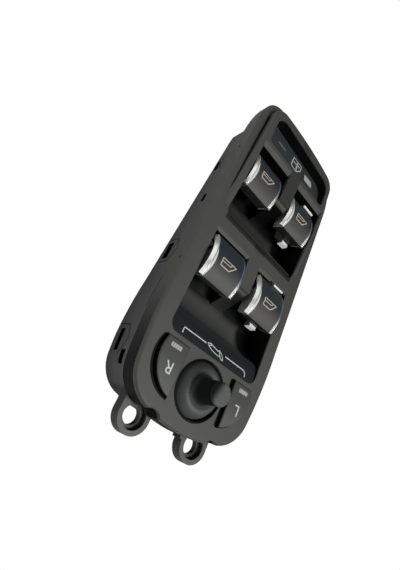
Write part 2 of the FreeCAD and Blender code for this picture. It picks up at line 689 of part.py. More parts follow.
def make_trim(name, x, shift, side):
    """Bright crescent on one flank of a rocker cap."""
    made = body(name)
    inner = size["rocker_half"] - size["trim_thick"]
    radius = size["cap_radius"] + TRIM_PROUD
    lip, rear = -size["cap_lip"] + 0.1, size["cap_rear"] - 0.4
    under = radius - size["trim_depth"]
    front_under, rear_under = lip + 0.9, rear - 1.6
    profile = closed(sketch(made, "YZ_Plane", inner if side > 0 else -inner), [
        (lip, on_arc(lip, radius)), (front_under, on_arc(front_under, under)),
        (rear_under, on_arc(rear_under, under)), (rear, on_arc(rear, radius))], {1: -under, 3: radius})
    crescent = pad(made, profile, size["trim_thick"], back=side < 0)
    outer = number(size["rocker_half"]) * side
    slope(made, crescent, size["trim_slope"], lambda edge: abs(edge.BoundBox.XMin - outer) < 1e-6
          and abs(edge.BoundBox.XMax - outer) < 1e-6 and edge.Length > 20.0
          and abs(edge.Curve.Radius - number(radius)) < 1e-6)
    return keep(made, name, x, size["pivot_y"] + shift, size["pivot_z"])


def make_slider(name, x, shift):
    """Contact slider on the board, pushed along by a rocker's leg."""
    made = body(name)
    side = leg_x()
    block = box(sketch(made), side - size["slider_width"] / 2, -size["slider_length"] / 2,
                side + size["slider_width"] / 2, size["slider_length"] / 2)
    pad(made, block, size["slider_height"])
    half_x = size["leg_width"] / 2 + size["slot_gap"]
    half_y = size["leg_thick"] / 2 + size["slot_gap"]
    slot = box(sketch(made, offset=1.0), side - half_x, -half_y, side + half_x, half_y)
    pocket(made, slot, size["slider_height"], back=True)
    return keep(made, name, x, size["pivot_y"] + shift, size["board_top"] + size["board_gap"])


GUIDE_TOP = -10.2
GUIDE_THICK = 2.0
GUIDE_LOW_X, GUIDE_HIGH_X = 3.4, 10.4
GUIDE_FRONT = -18.2


def make_light_guide(name, x, shift, fin=None):
    """Light guide that brings the board's light under a rocker's mark and past its rear edge."""
    made = body(name)
    low, high = GUIDE_LOW_X, GUIDE_HIGH_X
    front, rear = (GUIDE_FRONT, fin[1]) if fin else (-12.0, 4.0)
    pad(made, box(sketch(made, offset=GUIDE_TOP), low, front, high, rear), GUIDE_THICK, back=True)
    root = GUIDE_TOP - GUIDE_THICK / 2
    post = box(sketch(made, offset=root), low + 1.0, -11.0, high - 1.0, -5.0)
    pad(made, post, root - size["board_top"], back=True)
    if fin:
        upright = box(sketch(made, offset=root), low - 3.0, fin[0], high + 0.2, rear)
        pad(made, upright, fin[2] - root)
        lug = rounded(sketch(made, "XZ_Plane", -front), low - 0.6, GUIDE_TOP - 3.4, high, GUIDE_TOP + 0.7,
                      1.9, 1.9)
        pad(made, lug, 1.7, back=True)
    return keep(made, name, x, size["pivot_y"] + shift, 0.0)


LEG_SIDE = 3.2
LOCK_LEG_X = 12.0


def dome_places():
    """Middles of the legs of the buttons and of the rubber domes that they press."""
    x, y = size["mirror_inner"] + size["button_leg_x"], size["mirror_rear"] - size["button_leg_y"]
    lock_y = size["lock_front"] + 2.2
    return [(-x, y), (x, y), (-LOCK_LEG_X, lock_y), (LOCK_LEG_X, lock_y)]


def square(made, x, y, side):
    return box(made, x - side / 2, y - side / 2, x + side / 2, y + side / 2)


def make_mirror_button(name, side):
    """Mirror select button: a proud cap on a hollow skirt with a leg over its dome."""
    made = body(name)
    cap = mirror_outline(sketch(made, offset=size["mirror_proud"]), side, size["button_gap"])
    block = pad(made, cap, size["mirror_proud"] + size["button_skirt"], back=True)
    top = number(size["mirror_proud"])
    fillet(made, block, 0.7, lambda edge: abs(edge.BoundBox.ZMin - top) < 1e-6)
    room = mirror_outline(sketch(made, offset=size["mirror_proud"] - 2.0), side, size["button_gap"] + 1.5)
    pocket(made, room, size["mirror_proud"] + size["button_skirt"])
    x, y = dome_places()[1]
    leg = square(sketch(made, offset=size["mirror_proud"] - 1.5), x * side, y, LEG_SIDE)
    foot = size["board_top"] + size["mat_thick"] + size["dome_height"] + size["press_gap"]
    pad(made, leg, size["mirror_proud"] - 1.5 - foot, back=True)
    lens_room = mirror_lens_outline(sketch(made, offset=size["mirror_proud"]), side)
    pocket(made, lens_room, LENS_THICK)
    return keep(made, name)


LENS_THICK = 1.0
MIRROR_LENS = (20.3, 29.6, 26.6, 31.6)


def mirror_lens_outline(made, side):
    x0, y0, x1, y1 = MIRROR_LENS
    low, high = (x0, x1) if side > 0 else (-x1, -x0)
    return rounded(made, low, y0, high, y1, 0.5, 0.5)


def make_mirror_lens(name, side):
    made = body(name)
    outline = mirror_lens_outline(sketch(made, offset=size["mirror_proud"]), side)
    pad(made, outline, LENS_THICK, back=True)
    return keep(made, name)


# Lenses of the child lock button: side, distance of the middle behind the recess's front, half width
LOCK_LENSES = {"child_lock_lens_left": (-1, 12.4, 0.8), "child_lock_lens_right": (1, 10.9, 1.7)}
LOCK_LENS_SHARE = 0.53


def lock_top(made):
    """Side view of everything above the child lock button's top."""
    front, rear = size["lock_front"] - 5.0, size["lock_rear"] + 5.0
    return closed(made, [(front, lock_height(front)), (rear, lock_height(rear)), (rear, HIGH),
                         (front, HIGH)])


def lock_height(y):
    """Height of the button's top, which falls towards its rear so that a finger finds it."""
    run = (y - size["lock_front"]) / (size["lock_rear"] - size["lock_front"])
    return size["lock_top"] - size["lock_fall"] * run


def lock_lens_outline(made, name):
    side, reach, half = LOCK_LENSES[name]
    x, y = size["lock_half"] * LOCK_LENS_SHARE * side, size["lock_front"] + reach
    wide = size["lock_lens_length"] / 2
    return rounded(made, x - wide, y - half, x + wide, y + half, 0.6, 0.6)


def lock_lens_floor(name):
    side, reach, half = LOCK_LENSES[name]
    return lock_height(size["lock_front"] + reach + half) - LENS_THICK


LOCK_CEILING, LOCK_FRONT_CEILING = -3.8, -1.8


def make_child_lock():
    """Child lock button: a wide sloping cap on a hollow skirt, with two legs over their domes."""
    made = body("child_lock_button")
    gap, skirt = size["button_gap"], size["lock_skirt"]
    cap = lock_outline(sketch(made, offset=size["lock_top"] + 1.0), gap)
    pad(made, cap, size["lock_top"] + 1.0 + skirt, back=True)
    pocket(made, lock_top(sketch(made, "YZ_Plane")), size["face_width"], both=True)
    pocket(made, lock_outline(sketch(made, offset=-skirt), gap + 1.6), skirt + LOCK_CEILING, back=True)
    half, front = size["lock_half"] - gap - 5.0, size["lock_front"] + gap + 2.0
    room = box(sketch(made, offset=LOCK_CEILING), -half, front, half, front + 8.0)
    pocket(made, room, LOCK_FRONT_CEILING - LOCK_CEILING, back=True)
    foot = size["board_top"] + size["mat_thick"] + size["dome_height"] + size["press_gap"] + 0.6
    for x, y in dome_places()[2:]:
        pad(made, square(sketch(made, offset=foot), x, y, LEG_SIDE), -foot)
    for name in LOCK_LENSES:
        room = lock_lens_outline(sketch(made, offset=HIGH), name)
        pocket(made, room, HIGH - lock_lens_floor(name))
    return keep(made, "child_lock_button")


def make_lock_lens(name):
    made = body(name)
    outline = lock_lens_outline(sketch(made, offset=lock_lens_floor(name)), name)
    pad(made, outline, LENS_THICK + 3.0)
    pocket(made, lock_top(sketch(made, "YZ_Plane")), size["face_width"], both=True)
    return keep(made, name)


# Half section of the joystick knob about its axis, as radius and height
def knob_section(made):
    pivot, ball, wall = size["stick_pivot_z"], size["stick_ball"], size["stick_wall"]
    top, radius = size["stick_top"], size["stick_radius"]

    def ball_radius(z, out):
        return math.sqrt(number(out) ** 2 - (z - number(pivot)) ** 2)

    rim, crest, stem = -6.0, 1.75, 3.3
    inner = ball - wall
    corners = [
        (0.0, pivot - 3.5), (0.0, top), (radius - 1.2, top), (radius, top - 1.2),
        (radius + 0.3, 5.2), (7.3, 1.9), (8.7, 2.4), (ball_radius(crest, ball), crest),
        (ball_radius(rim, ball), rim), (ball_radius(rim, inner), rim), (ball_radius(-1.0, inner), -1.0),
        (stem, -1.0), (stem, pivot - 3.5)]
    arcs = {2: -1.2, 4: 3.6, 6: -2.6, 7: -ball, 9: inner}
    return closed(made, corners, arcs)


def make_knob():
    """Joystick knob: domed shell and nub, with a stem and cross pins at its pivot."""
    made = body("joystick_knob")
    section = knob_section(sketch(made, "XZ_Plane"))
    turned = made.newObject("PartDesign::Revolution", "joystick_turned")
    turned.Profile = section
    turned.ReferenceAxis = (section, ["V_Axis"])
    turned.Angle = 360
    doc.recompute()
    pins = disc(sketch(made, "XZ_Plane"), 0.0, size["stick_pivot_z"], size["gimbal_pin"])
    pad(made, pins, (size["ring_outer"] - 0.8) * 2, both=True)
    return keep(made, "joystick_knob", 0.0, size["stick_y"], 0.0)


def make_ring():
    """Gimbal ring: its own pins turn in the base, and it carries the knob's pins."""
    made = body("joystick_gimbal")
    bottom = size["stick_pivot_z"] - size["ring_height"] / 2
    ring = sketch(made, offset=bottom)
    disc(ring, 0.0, 0.0, size["ring_outer"])
    pad(made, ring, size["ring_height"])
    pins = disc(sketch(made, "YZ_Plane"), 0.0, size["stick_pivot_z"], size["gimbal_pin"])
    pad(made, pins, (size["ring_outer"] + 0.4 + size["post_thick"] * 0.8) * 2, both=True)
    middle = disc(sketch(made, offset=bottom), 0.0, 0.0, size["ring_inner"])
    pocket(made, middle, size["ring_height"], back=True)
    bore = disc(sketch(made, "XZ_Plane"), 0.0, size["stick_pivot_z"],
                size["gimbal_pin"] + size["gimbal_clearance"])
    pocket(made, bore, size["ring_outer"] * 2 + 1.0, both=True)
    return keep(made, "joystick_gimbal", 0.0, size["stick_y"], 0.0)


def make_base():
    """Joystick base on the board, with the two posts that carry the gimbal ring."""
    made = body("joystick_base")
    half = size["ring_outer"] + size["post_thick"] + 2.6
    plate = rounded(sketch(made, offset=size["board_top"]), -half, -half, half, half, 2.0, 2.0)
    pad(made, plate, 2.0)
    posts = sketch(made, offset=size["board_top"] + 1.0)
    for side in (-1, 1):
        near = (size["ring_outer"] + 0.4) * side
        far = (size["ring_outer"] + 0.4 + size["post_thick"]) * side
        low, high = (near, far) if side > 0 else (far, near)
        box(posts, low, -3.2, high, 3.2)
    pad(made, posts, size["stick_pivot_z"] + 2.4 - size["board_top"] - 1.0)
    bore = disc(sketch(made, "YZ_Plane"), 0.0, size["stick_pivot_z"],
                size["gimbal_pin"] + size["gimbal_clearance"])
    pocket(made, bore, 30.0, both=True)
    return keep(made, "joystick_base", 0.0, size["stick_y"], 0.0)


def make_board():
    """Circuit board with clearance for the case's posts."""
    made = body("circuit_board")
    inset = size["skirt_wall"] + size["case_gap"] + size["case_wall"] + size["board_room"]
    pad(made, face_outline(sketch(made, offset=size["board_top"]), inset), size["board_thick"], back=True)
    half = size["face_width"] / 2
    spare = box(sketch(made, offset=size["board_top"]), -half, size["board_rear"], half,
                size["face_length"])
    pocket(made, spare, size["board_thick"])
    holes = sketch(made, offset=size["board_top"])
    for x, y in SCREWS:
        disc(holes, x, y, size["post_radius"] + 0.4)
    pin_squares(holes)
    pocket(made, holes, size["board_thick"])
    return keep(made, "circuit_board")


def make_mats():
    """Rubber mats with a dome under each button's leg."""
    front, rear = body("dome_mat_front"), body("dome_mat_rear")
    near, far = size["mirror_inner"] - size["mat_inner"], size["mirror_inner"] + size["mat_outer"]
    low, high = size["mirror_rear"] - size["mat_front"], size["mirror_rear"] + size["mat_rear"]
    pad(front, closed(sketch(front, offset=size["board_top"]), [
        (-far, low), (-near, low), (-near, high), (near, high), (near, low), (far, low),
        (far, high + 1.6), (-far, high + 1.6)]), size["mat_thick"])
    wide = LOCK_LEG_X + size["mat_edge"]
    pad(rear, box(sketch(rear, offset=size["board_top"]), -wide, size["lock_front"] - 0.4, wide,
                  size["board_rear"] - 0.3), size["mat_thick"])
    for made, places in ((front, dome_places()[:2]), (rear, dome_places()[2:])):
        domes = sketch(made, offset=size["board_top"] + size["mat_thick"])
        for x, y in places:
            disc(domes, x, y, 1.9)
        pad(made, domes, size["dome_height"])
        keep(made, made.Name)


def make_leds():
    """Light emitters on the board: one by each light guide, two by the buttons at each end."""
    made = body("leds")
    beside, along = size["mirror_inner"] + size["led_beside"], size["mirror_rear"] - size["led_along"]
    spots = [(-beside, along), (beside, along)]
    for x, y in dome_places()[2:]:
        spots.append((x + (5.6 if x > 0 else -5.6), y))
    for x in (-size["rocker_x"], size["rocker_x"]):
        for shift in (0.0, size["rocker_pitch"]):
            spots.append((x + GUIDE_LOW_X + 3.5, size["pivot_y"] + shift - 3.0))
    chips = sketch(made, offset=size["board_top"])
    for x, y in spots:
        box(chips, x - 1.0, y - 1.4, x + 1.0, y + 1.4)
    pad(made, chips, 1.2)
    return keep(made, "leds")


def make_screws():
    """The four self-tapping screws that hold the rear case to the face."""
    made = body("case_screws")
    seat = size["joint_z"] - size["screw_sink"]
    heads = sketch(made, offset=seat)
    shanks = sketch(made, offset=seat)
    recesses = sketch(made, offset=seat - size["screw_head_height"])
    for x, y in SCREWS:
        disc(heads, x, y, size["screw_head"])
        disc(shanks, x, y, size["screw_radius"])
        box(recesses, x - 1.6, y - 0.4, x + 1.6, y + 0.4)
    pad(made, heads, size["screw_head_height"], back=True)
    pad(made, shanks, size["screw_length"])
    pocket(made, recesses, 1.2, back=True)
    return keep(made, "case_screws")


PIN_COLUMNS = 6
PIN_PITCH = 4.2
PIN_SETBACK = 4.6


def pin_squares(made):
    """The connector pins' squares, in two rows."""
    half = size["plug_pin"] / 2
    for row in (-1, 1):
        y = size["plug_y"] + row * 2.4
        for column in range(PIN_COLUMNS):
            x = (column - (PIN_COLUMNS - 1) / 2) * PIN_PITCH
            box(made, x - half, y - half, x + half, y + half)
    return made


def make_connector():
    """Connector socket under the board and its pins."""
    header = body("connector_header")
    top = size["board_top"] - size["board_thick"]
    half_x, half_y, wall = size["plug_half_x"], size["plug_half_y"], size["plug_wall"]
    middle = size["plug_y"]
    outer = rounded(sketch(header, offset=top), -half_x, middle - half_y, half_x, middle + half_y, 1.0, 1.0)
    pad(header, outer, size["case_depth"] + top, back=True)
    room = rounded(sketch(header, offset=-size["case_depth"]), -half_x + wall, middle - half_y + wall,
                   half_x - wall, middle + half_y - wall, 0.6, 0.6)
    pocket(header, room, size["plug_room"], back=True)
    # Polarising slot in the socket's front wall
    key = box(sketch(header, offset=-size["case_depth"]), -2.2, middle - half_y - 1.0, 2.2,
              middle - half_y + wall + 0.2)
    pocket(header, key, size["plug_room"] - 2.0, back=True)
    pocket(header, pin_squares(sketch(header, offset=top)), size["plug_floor"] + 1.0)
    keep(header, "connector_header")
    pins = body("connector_pins")
    pad(pins, pin_squares(sketch(pins, offset=size["board_top"] + 0.8)),
        size["case_depth"] + size["board_top"] + 0.8 - PIN_SETBACK, back=True)
    return keep(pins, "connector_pins")


def write_parts():
    """Check every object, then write each sub-part to its own file."""
    doc.recompute()
    for thing in doc.Objects:
        if "Invalid" in thing.State or "Error" in thing.State:
            raise RuntimeError("not built: " + thing.Name)
    for part in parts:
        shape = part.Shape
        if shape.isNull() or not shape.isValid() or not shape.Solids:
            raise RuntimeError("bad shape: " + part.Label)
    os.makedirs("parts", exist_ok=True)
    for part in parts:
        part.Shape.exportStep("parts/%s.step" % part.Label)
        print("%-26s %9.1f mm3 %3d faces" % (part.Label, part.Shape.Volume, len(part.Shape.Faces)))


make_bezel()
make_case()
make_screws()
make_board()
make_connector()
make_mats()
make_leds()

REAR_SHIFT = size["rocker_pitch"]
FRONT_FIN = (6.9, 7.6, -0.5)
REAR_FIN = (6.6, 7.5, 0.6)
CORNERS = [
    # Name, side of the centre line, distance behind the front pair, fin of its light guide
    ("front_left", -1, 0.0, None), ("front_right", 1, 0.0, FRONT_FIN),
    ("rear_left", -1, REAR_SHIFT, None), ("rear_right", 1, REAR_SHIFT, REAR_FIN),
]
for corner, half, shift, fin in CORNERS:
    x = size["rocker_x"] * half
    make_rocker("rocker_" + corner, x, shift)
    make_trim("trim_%s_outer" % corner, x, shift, half)
    make_trim("trim_%s_inner" % corner, x, shift, -half)
    make_slider("contact_slider_" + corner, x, shift)
    make_light_guide("light_guide_" + corner, x, shift, fin)

for half, word in ((-1, "left"), (1, "right")):
    make_mirror_button("mirror_button_" + word, half)
    make_mirror_lens("mirror_lens_" + word, half)
make_child_lock()
for name in LOCK_LENSES:
    make_lock_lens(name)
make_knob()
make_ring()
make_base()
write_parts()
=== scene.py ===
import math
from functools import reduce

import bmesh
import bpy
from bpy.props import FloatProperty, FloatVectorProperty, PointerProperty
from mathutils import Matrix, Vector
from mathutils.bvhtree import BVHTree


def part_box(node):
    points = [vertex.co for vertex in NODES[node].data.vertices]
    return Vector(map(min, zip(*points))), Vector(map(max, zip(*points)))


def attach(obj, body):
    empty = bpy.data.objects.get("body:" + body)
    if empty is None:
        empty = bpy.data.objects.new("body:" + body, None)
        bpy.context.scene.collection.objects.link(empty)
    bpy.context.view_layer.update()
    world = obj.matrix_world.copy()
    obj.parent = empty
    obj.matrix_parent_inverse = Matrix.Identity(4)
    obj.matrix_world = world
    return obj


bl_info = {
    "name": "Power window switch",
    "version": (1, 0, 0),
    "blender": (4, 5, 0),
    "location": "View3D > Sidebar > Window switch",
    "description": "Finishes, printed marks and stage for a power window switch module",
    "category": "Object",
}

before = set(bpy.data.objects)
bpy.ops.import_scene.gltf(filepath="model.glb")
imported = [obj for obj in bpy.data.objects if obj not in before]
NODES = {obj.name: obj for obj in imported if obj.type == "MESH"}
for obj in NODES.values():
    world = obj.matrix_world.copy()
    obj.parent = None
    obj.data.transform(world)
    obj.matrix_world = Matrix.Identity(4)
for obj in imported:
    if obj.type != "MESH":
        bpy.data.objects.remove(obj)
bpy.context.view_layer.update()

MM = 0.001

# The constants of this file are in millimetres on the face, which are counted from the face's middle,
# its foot edge and its rim. FACE_Y and FACE_Z, in metres, say where that point lies in the frame, and
# the stage is in metres too. A pair that goes into step() says where a look starts and where it is full.
KNOB_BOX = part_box("joystick_knob")
STICK_Y = 20.9
FACE_Y = (KNOB_BOX[0][1] + KNOB_BOX[1][1]) / 2 - STICK_Y * MM
FACE_Z = 0.0353

# Pivots of the rockers
CORNERS = ("front_left", "front_right", "rear_left", "rear_right")
PIVOT_X = 17.45
PIVOT_Y = {"front": 86.0, "rear": 146.5}
PIVOT_Z = -4.0
PIVOT_PITCH = PIVOT_Y["rear"] - PIVOT_Y["front"]
BETWEEN_ROCKERS = (116.0, 117.0)

# Arc of a rocker cap's top about its own centre, measured from the pivot, and half the cap's width
CAP_CENTRE_Y = -8.8
CAP_CENTRE_Z = -12.88
CAP_RADIUS = 21.5
CAP_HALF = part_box("trim_front_right_outer")[0][0] / MM - PIVOT_X

# What moulded plastics share
PLASTIC_IOR = 1.46
GRAIN_SCALE = 2600.0
GRAIN_HEIGHT = 0.02 * MM
SOFT_EDGE = 0.3 * MM
# Lightless black, painted where shade falls in deep gaps and hollows
PAINTED_SHADE_BLACK = (0.003, 0.003, 0.003, 1.0)
BLACK_PLASTIC = (0.02, 0.02, 0.021)

# Printed lines: the parts of a rounded corner, and how far a mitre may reach out
CORNER_PARTS = 5
MITRE_LEAST = 0.35


def at_face(x, y, z):
    """A point given in millimetres on the face, in the frame."""
    return Vector((x * MM, y * MM + FACE_Y, z * MM + FACE_Z))


def colour(name, words, value):
    return FloatVectorProperty(name=name, description=words, subtype="COLOR", size=3, min=0.0, max=1.0,
                               default=value)


class FinishSettings(bpy.types.PropertyGroup):
    """Colours of the mouldings, plating and lenses, and of the light and shade painted on some of them."""

    face: colour("Face", "Faceplate moulding", (0.078, 0.079, 0.074))
    well: colour("Wells", "Smoother floors of the finger bays", (0.082, 0.085, 0.080))
    apron: colour("Aprons", "Printed slope at the front of each bay", (0.006, 0.009, 0.010))
    # The skirt's colour is painted shade, near black, for the faceplate's lower edge
    skirt: colour("Skirt", "Lower edge of the faceplate", (0.008, 0.008, 0.008))
    case: colour("Case", "Rear case moulding", (0.105, 0.102, 0.107))
    cap: colour("Rocker caps", "Window rockers, front half", (0.070, 0.071, 0.067))
    # The rockers' rear colour is painted shade with a bluish painted reflection
    cap_rear_shade_and_reflection: colour("Rocker caps, rear", "Window rockers, rear half", (0.030, 0.036, 0.040))
    button: colour("Buttons", "Mirror select buttons", (0.072, 0.073, 0.069))
    lock: colour("Child lock button", "Wide button at the head", (0.045, 0.051, 0.051))
    knob: colour("Joystick", "Mirror joystick knob", (0.058, 0.061, 0.060))
    plating: colour("Plating", "Bright crescents on the rockers", (0.9, 0.9, 0.88))
    gleam: colour("Plating, shaded side", "Crescents turned from the light", (0.16, 0.22, 0.28))
    mark: colour("Marks", "Brackets, car and letters", (0.75, 0.8, 0.78))
    window: colour("Window marks", "Window outlines on the rockers", (0.66, 0.62, 0.52))
    guide: colour("Light guides", "Milky light guides", (0.9, 0.9, 0.89))
    smoked: colour("Smoked guides", "Dark light guides of the left rockers", (0.012, 0.012, 0.013))
    lens: colour("Lenses", "Unlit lenses in the buttons", (0.48, 0.49, 0.47))
    board: colour("Board", "Black laminate of the circuit board", (0.004, 0.005, 0.005))


class MarkSettings(bpy.types.PropertyGroup):
    """Sizes of the printed marks."""

    stroke: FloatProperty(name="Stroke", description="Width of a mark's line", default=0.55 * MM,
                          unit="LENGTH", subtype="DISTANCE", min=0.1 * MM)
    thickness: FloatProperty(name="Thickness", description="Thickness of the printed layer",
                             default=0.03 * MM, unit="LENGTH", subtype="DISTANCE", min=0.005 * MM)
    letter: FloatProperty(name="Letter height", description="Height of the R and L letters",
                          default=5.2 * MM, unit="LENGTH", subtype="DISTANCE", min=1.0 * MM)


class StageSettings(bpy.types.PropertyGroup):
    """Light and background."""

    key_power: FloatProperty(name="Key light", description="Power of the large light over the right side",
                             default=17.0, unit="POWER", min=0.0)
    side_power: FloatProperty(name="Side light", description="Power of the wide light on the left",
                              default=0.7, unit="POWER", min=0.0)
    gleam_power: FloatProperty(name="Gleam", description="Power of the card seen in the bright plating",
                               default=0.8, unit="POWER", min=0.0)
    sky: FloatProperty(name="Sky", description="Strength of the even light from all round", default=0.1,
                       min=0.0)
    backdrop: FloatProperty(name="Backdrop", description="Share of plain white in the floor's look",
                            default=1.0, subtype="FACTOR", min=0.0, max=1.0)


def rgba(value):
    return (value[0], value[1], value[2], 1.0)


def shaded(value, factor):
    """The same colour made lighter or darker."""
    return tuple(min(1.0, part * factor) for part in value[:3]) + (1.0,)


class Term:
    """A shader socket that can stand in a sum."""

    def __init__(self, finish, socket):
        self.finish = finish
        self.socket = socket

    def maths(self, operation, *others):
        return self.finish.maths(operation, self, *others)

    def __add__(self, other):
        return self.maths("ADD", other)

    __radd__ = __add__

    def __sub__(self, other):
        return self.maths("SUBTRACT", other)

    def __rsub__(self, other):
        return self.finish.maths("SUBTRACT", other, self)

    def __mul__(self, other):
        return self.maths("MULTIPLY", other)

    __rmul__ = __mul__

    def __abs__(self):
        return self.maths("ABSOLUTE")

    def smaller(self, other):
        return self.maths("MINIMUM", other)

    def larger(self, other):
        return self.maths("MAXIMUM", other)

    def step(self, start, end):
        """0 before the start and 1 after the end, smooth between them; the start may be the larger."""
        return self.finish.add("ShaderNodeMapRange", {"interpolation_type": "SMOOTHSTEP"}, {
            "Value": self, "From Min": start, "From Max": end, "To Min": 0.0, "To Max": 1.0})

    def within(self, low, high, soft=0.15):
        """1 between two values and 0 outside them."""
        return self.step(low - soft, low + soft) * self.step(high + soft, high - soft)


def largest(*terms):
    """The largest of several terms at each point."""
    return reduce(Term.larger, terms)


class Finish:
    """A material or a world, and the one way in which nodes are put into it."""

    def __init__(self, name, world=False):
        self.owner = (bpy.data.worlds if world else bpy.data.materials).new(name)
        self.owner.use_nodes = True
        self.tree = self.owner.node_tree
        self.tree.nodes.clear()
        self.end = "ShaderNodeOutputWorld" if world else "ShaderNodeOutputMaterial"
        self.place = None

    def add(self, kind, settings=None, inputs=None, output=0):
        """Add a node: its settings first, then what its sockets hold or are linked to."""
        made = self.tree.nodes.new(kind)
        for name, value in (settings or {}).items():
            setattr(made, name, value)
        for key, value in (inputs or {}).items():
            socket = made.inputs[key]
            if isinstance(value, Term):
                self.tree.links.new(value.socket, socket)
            else:
                socket.default_value = value
        return Term(self, made.outputs[output]) if made.outputs else None

    def maths(self, operation, *values):
        return self.add("ShaderNodeMath", {"operation": operation}, dict(enumerate(values)))

    def mix(self, share, first, second):
        """Colour between the first and the second."""
        return self.add("ShaderNodeMix", {"data_type": "RGBA"}, {0: share, 6: first, 7: second}, output=2)

    def parts(self, vector):
        """The three parts of a vector."""
        split = self.add("ShaderNodeSeparateXYZ", inputs={0: vector}).socket.node
        return [Term(self, output) for output in split.outputs]

    def position(self):
        """Distances along X, Y and Z in the frame, in millimetres on the face."""
        if self.place is None:
            x, y, z = self.parts(self.add("ShaderNodeTexCoord", output="Object"))
            per_metre = 1.0 / MM
            self.place = (x * per_metre, (y - FACE_Y) * per_metre, (z - FACE_Z) * per_metre)
        return self.place

    def upward(self):
        """How far a surface faces up, 1 where it lies flat."""
        return self.parts(self.add("ShaderNodeNewGeometry", output="Normal"))[2]

    def reach(self, a, b):
        """Distance from where both are 0."""
        return self.maths("SQRT", a * a + b * b)

    def disc(self, centre, radius, soft=0.15):
        """1 inside a circle on the face and 0 outside it."""
        x, y = self.position()[:2]
        return self.reach(x - centre[0], y - centre[1]).step(radius + soft, radius - soft)

    def at_rear(self):
        """1 at the rear rockers and 0 at the front ones."""
        return self.position()[1].step(*BETWEEN_ROCKERS)

    def rocker_place(self):
        """Distances across and along a rocker from its pivot, in millimetres."""
        x, y = self.position()[:2]
        side = x.step(-0.1, 0.1) * -2.0 + 1.0
        return x + side * PIVOT_X, y - PIVOT_Y["front"] - self.at_rear() * PIVOT_PITCH

    def noise(self, scale, detail=3.0):
        where = self.add("ShaderNodeTexCoord", output="Object")
        return self.add("ShaderNodeTexNoise", {"noise_dimensions": "3D"}, {
            "Vector": where, "Scale": scale, "Detail": detail, "Roughness": 0.5})

    def cloudy(self, value, scale, low, high):
        """A colour that wavers between two shades, and the soft noise that it follows."""
        cloud = self.noise(scale)
        return self.mix(cloud, shaded(value, low), shaded(value, high)), cloud

    def grain(self, scale=GRAIN_SCALE, height=GRAIN_HEIGHT, edge=SOFT_EDGE):
        """Normal of a fine moulded grain over softly rounded edges."""
        soft = self.add("ShaderNodeBevel", {"samples": 6}, {"Radius": edge})
        return self.add("ShaderNodeBump", None, {
            "Height": self.noise(scale, 2.0), "Distance": height, "Strength": 1.0, "Normal": soft})

    def surface(self, painted_shade=None, **inputs):
        """Principled surface; words in the sockets' names are joined by an underscore.

        The first argument is the share of a lightless black: painted shade for deep gaps and hollows.
        """
        sockets = {name.replace("_", " "): value for name, value in inputs.items()}
        made = self.add("ShaderNodeBsdfPrincipled", None, sockets)
        if painted_shade is not None:
            black = self.add("ShaderNodeBsdfDiffuse", None, {"Color": PAINTED_SHADE_BLACK})
            made = self.add("ShaderNodeMixShader", None, {0: painted_shade, 1: made, 2: black})
        return self.show(made)

    def show(self, shader):
        self.add(self.end, None, {"Surface": shader})
        return self.owner


def moulded(name, value, roughness=0.5):
    """Moulded plastic with a fine grain and slightly uneven colour and sheen."""
    finish = Finish(name)
    base, cloud = finish.cloudy(value, 90.0, 0.92, 1.08)
    return finish.surface(Base_Color=base, Roughness=cloud * 0.1 + (roughness - 0.05),
                          Normal=finish.grain(), IOR=PLASTIC_IOR)


def printed(name, value):
    """Thin print with a slightly uneven colour and sheen."""
    finish = Finish(name)
    base, cloud = finish.cloudy(value, 1400.0, 0.9, 1.08)
    return finish.surface(Base_Color=base, Roughness=cloud * 0.1 + 0.38)


def bare_metal(name, value):
    """Bare or plated metal of the hidden small parts."""
    finish = Finish(name)
    base, cloud = finish.cloudy(value, 900.0, 0.9, 1.05)
    return finish.surface(Base_Color=base, Metallic=1.0, Roughness=cloud * 0.15 + 0.25)


def dress(names, material):
    """Give CAD nodes a finish."""
    for name in names:
        mesh = NODES[name].data
        mesh.materials.clear()
        mesh.materials.append(material)


def nodes_with(start):
    return [name for name in NODES if name.startswith(start)]


def new_piece(name, mesh, material, body):
    """Add a piece made in this file, which rides on a body."""
    mesh.materials.append(material)
    piece = bpy.data.objects.new(name, mesh)
    bpy.context.scene.collection.objects.link(piece)
    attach(piece, body)


def ribbon(solid, path, width, thickness, place, loop):
    """Flat line along a path of flat points, which place puts on a surface or raises from it."""
    count = len(path)
    rows = []
    for i, point in enumerate(path):
        ways = []
        if loop or i > 0:
            ways.append((Vector(point) - Vector(path[(i - 1) % count])).normalized())
        if loop or i < count - 1:
            ways.append((Vector(path[(i + 1) % count]) - Vector(point)).normalized())
        along = sum(ways, Vector((0.0, 0.0))).normalized()
        side = Vector((-along.y, along.x))
        reach = width / 2 / max(MITRE_LEAST, abs(side.dot(Vector((-ways[0].y, ways[0].x)))))
        row = []
        for sign in (1, -1):
            a, b = Vector(point) + side * reach * sign
            row.append(solid.verts.new(place(a, b, 0.0)))
            row.append(solid.verts.new(place(a, b, thickness)))
        rows.append(row)
    for i in range(count if loop else count - 1):
        a, b = rows[i], rows[(i + 1) % count]
        solid.faces.new((a[1], b[1], b[3], a[3]))
        solid.faces.new((a[0], a[2], b[2], b[0]))
        solid.faces.new((a[0], b[0], b[1], a[1]))
        solid.faces.new((a[2], a[3], b[3], b[2]))
    if not loop:
        first, last = rows[0], rows[-1]
        solid.faces.new((first[0], first[1], first[3], first[2]))
        solid.faces.new((last[0], last[2], last[3], last[1]))


def over(height):
    """Place for lines on the face, at the height in millimetres given for each point."""
    return lambda x, y, up: at_face(x, y, height(x, y)) + Vector((0.0, 0.0, up))


def split_path(path, step, loop=False):
    """The same path with its long runs divided, so that it can follow a curved surface."""
    fine = []
    for start, end in zip(path, path[1:] + path[:1] if loop else path[1:]):
        run = Vector(end) - Vector(start)
        parts = max(1, math.ceil(run.length / step))
        fine += [tuple(Vector(start) + run * i / parts) for i in range(parts)]
    return fine if loop else fine + [path[-1]]


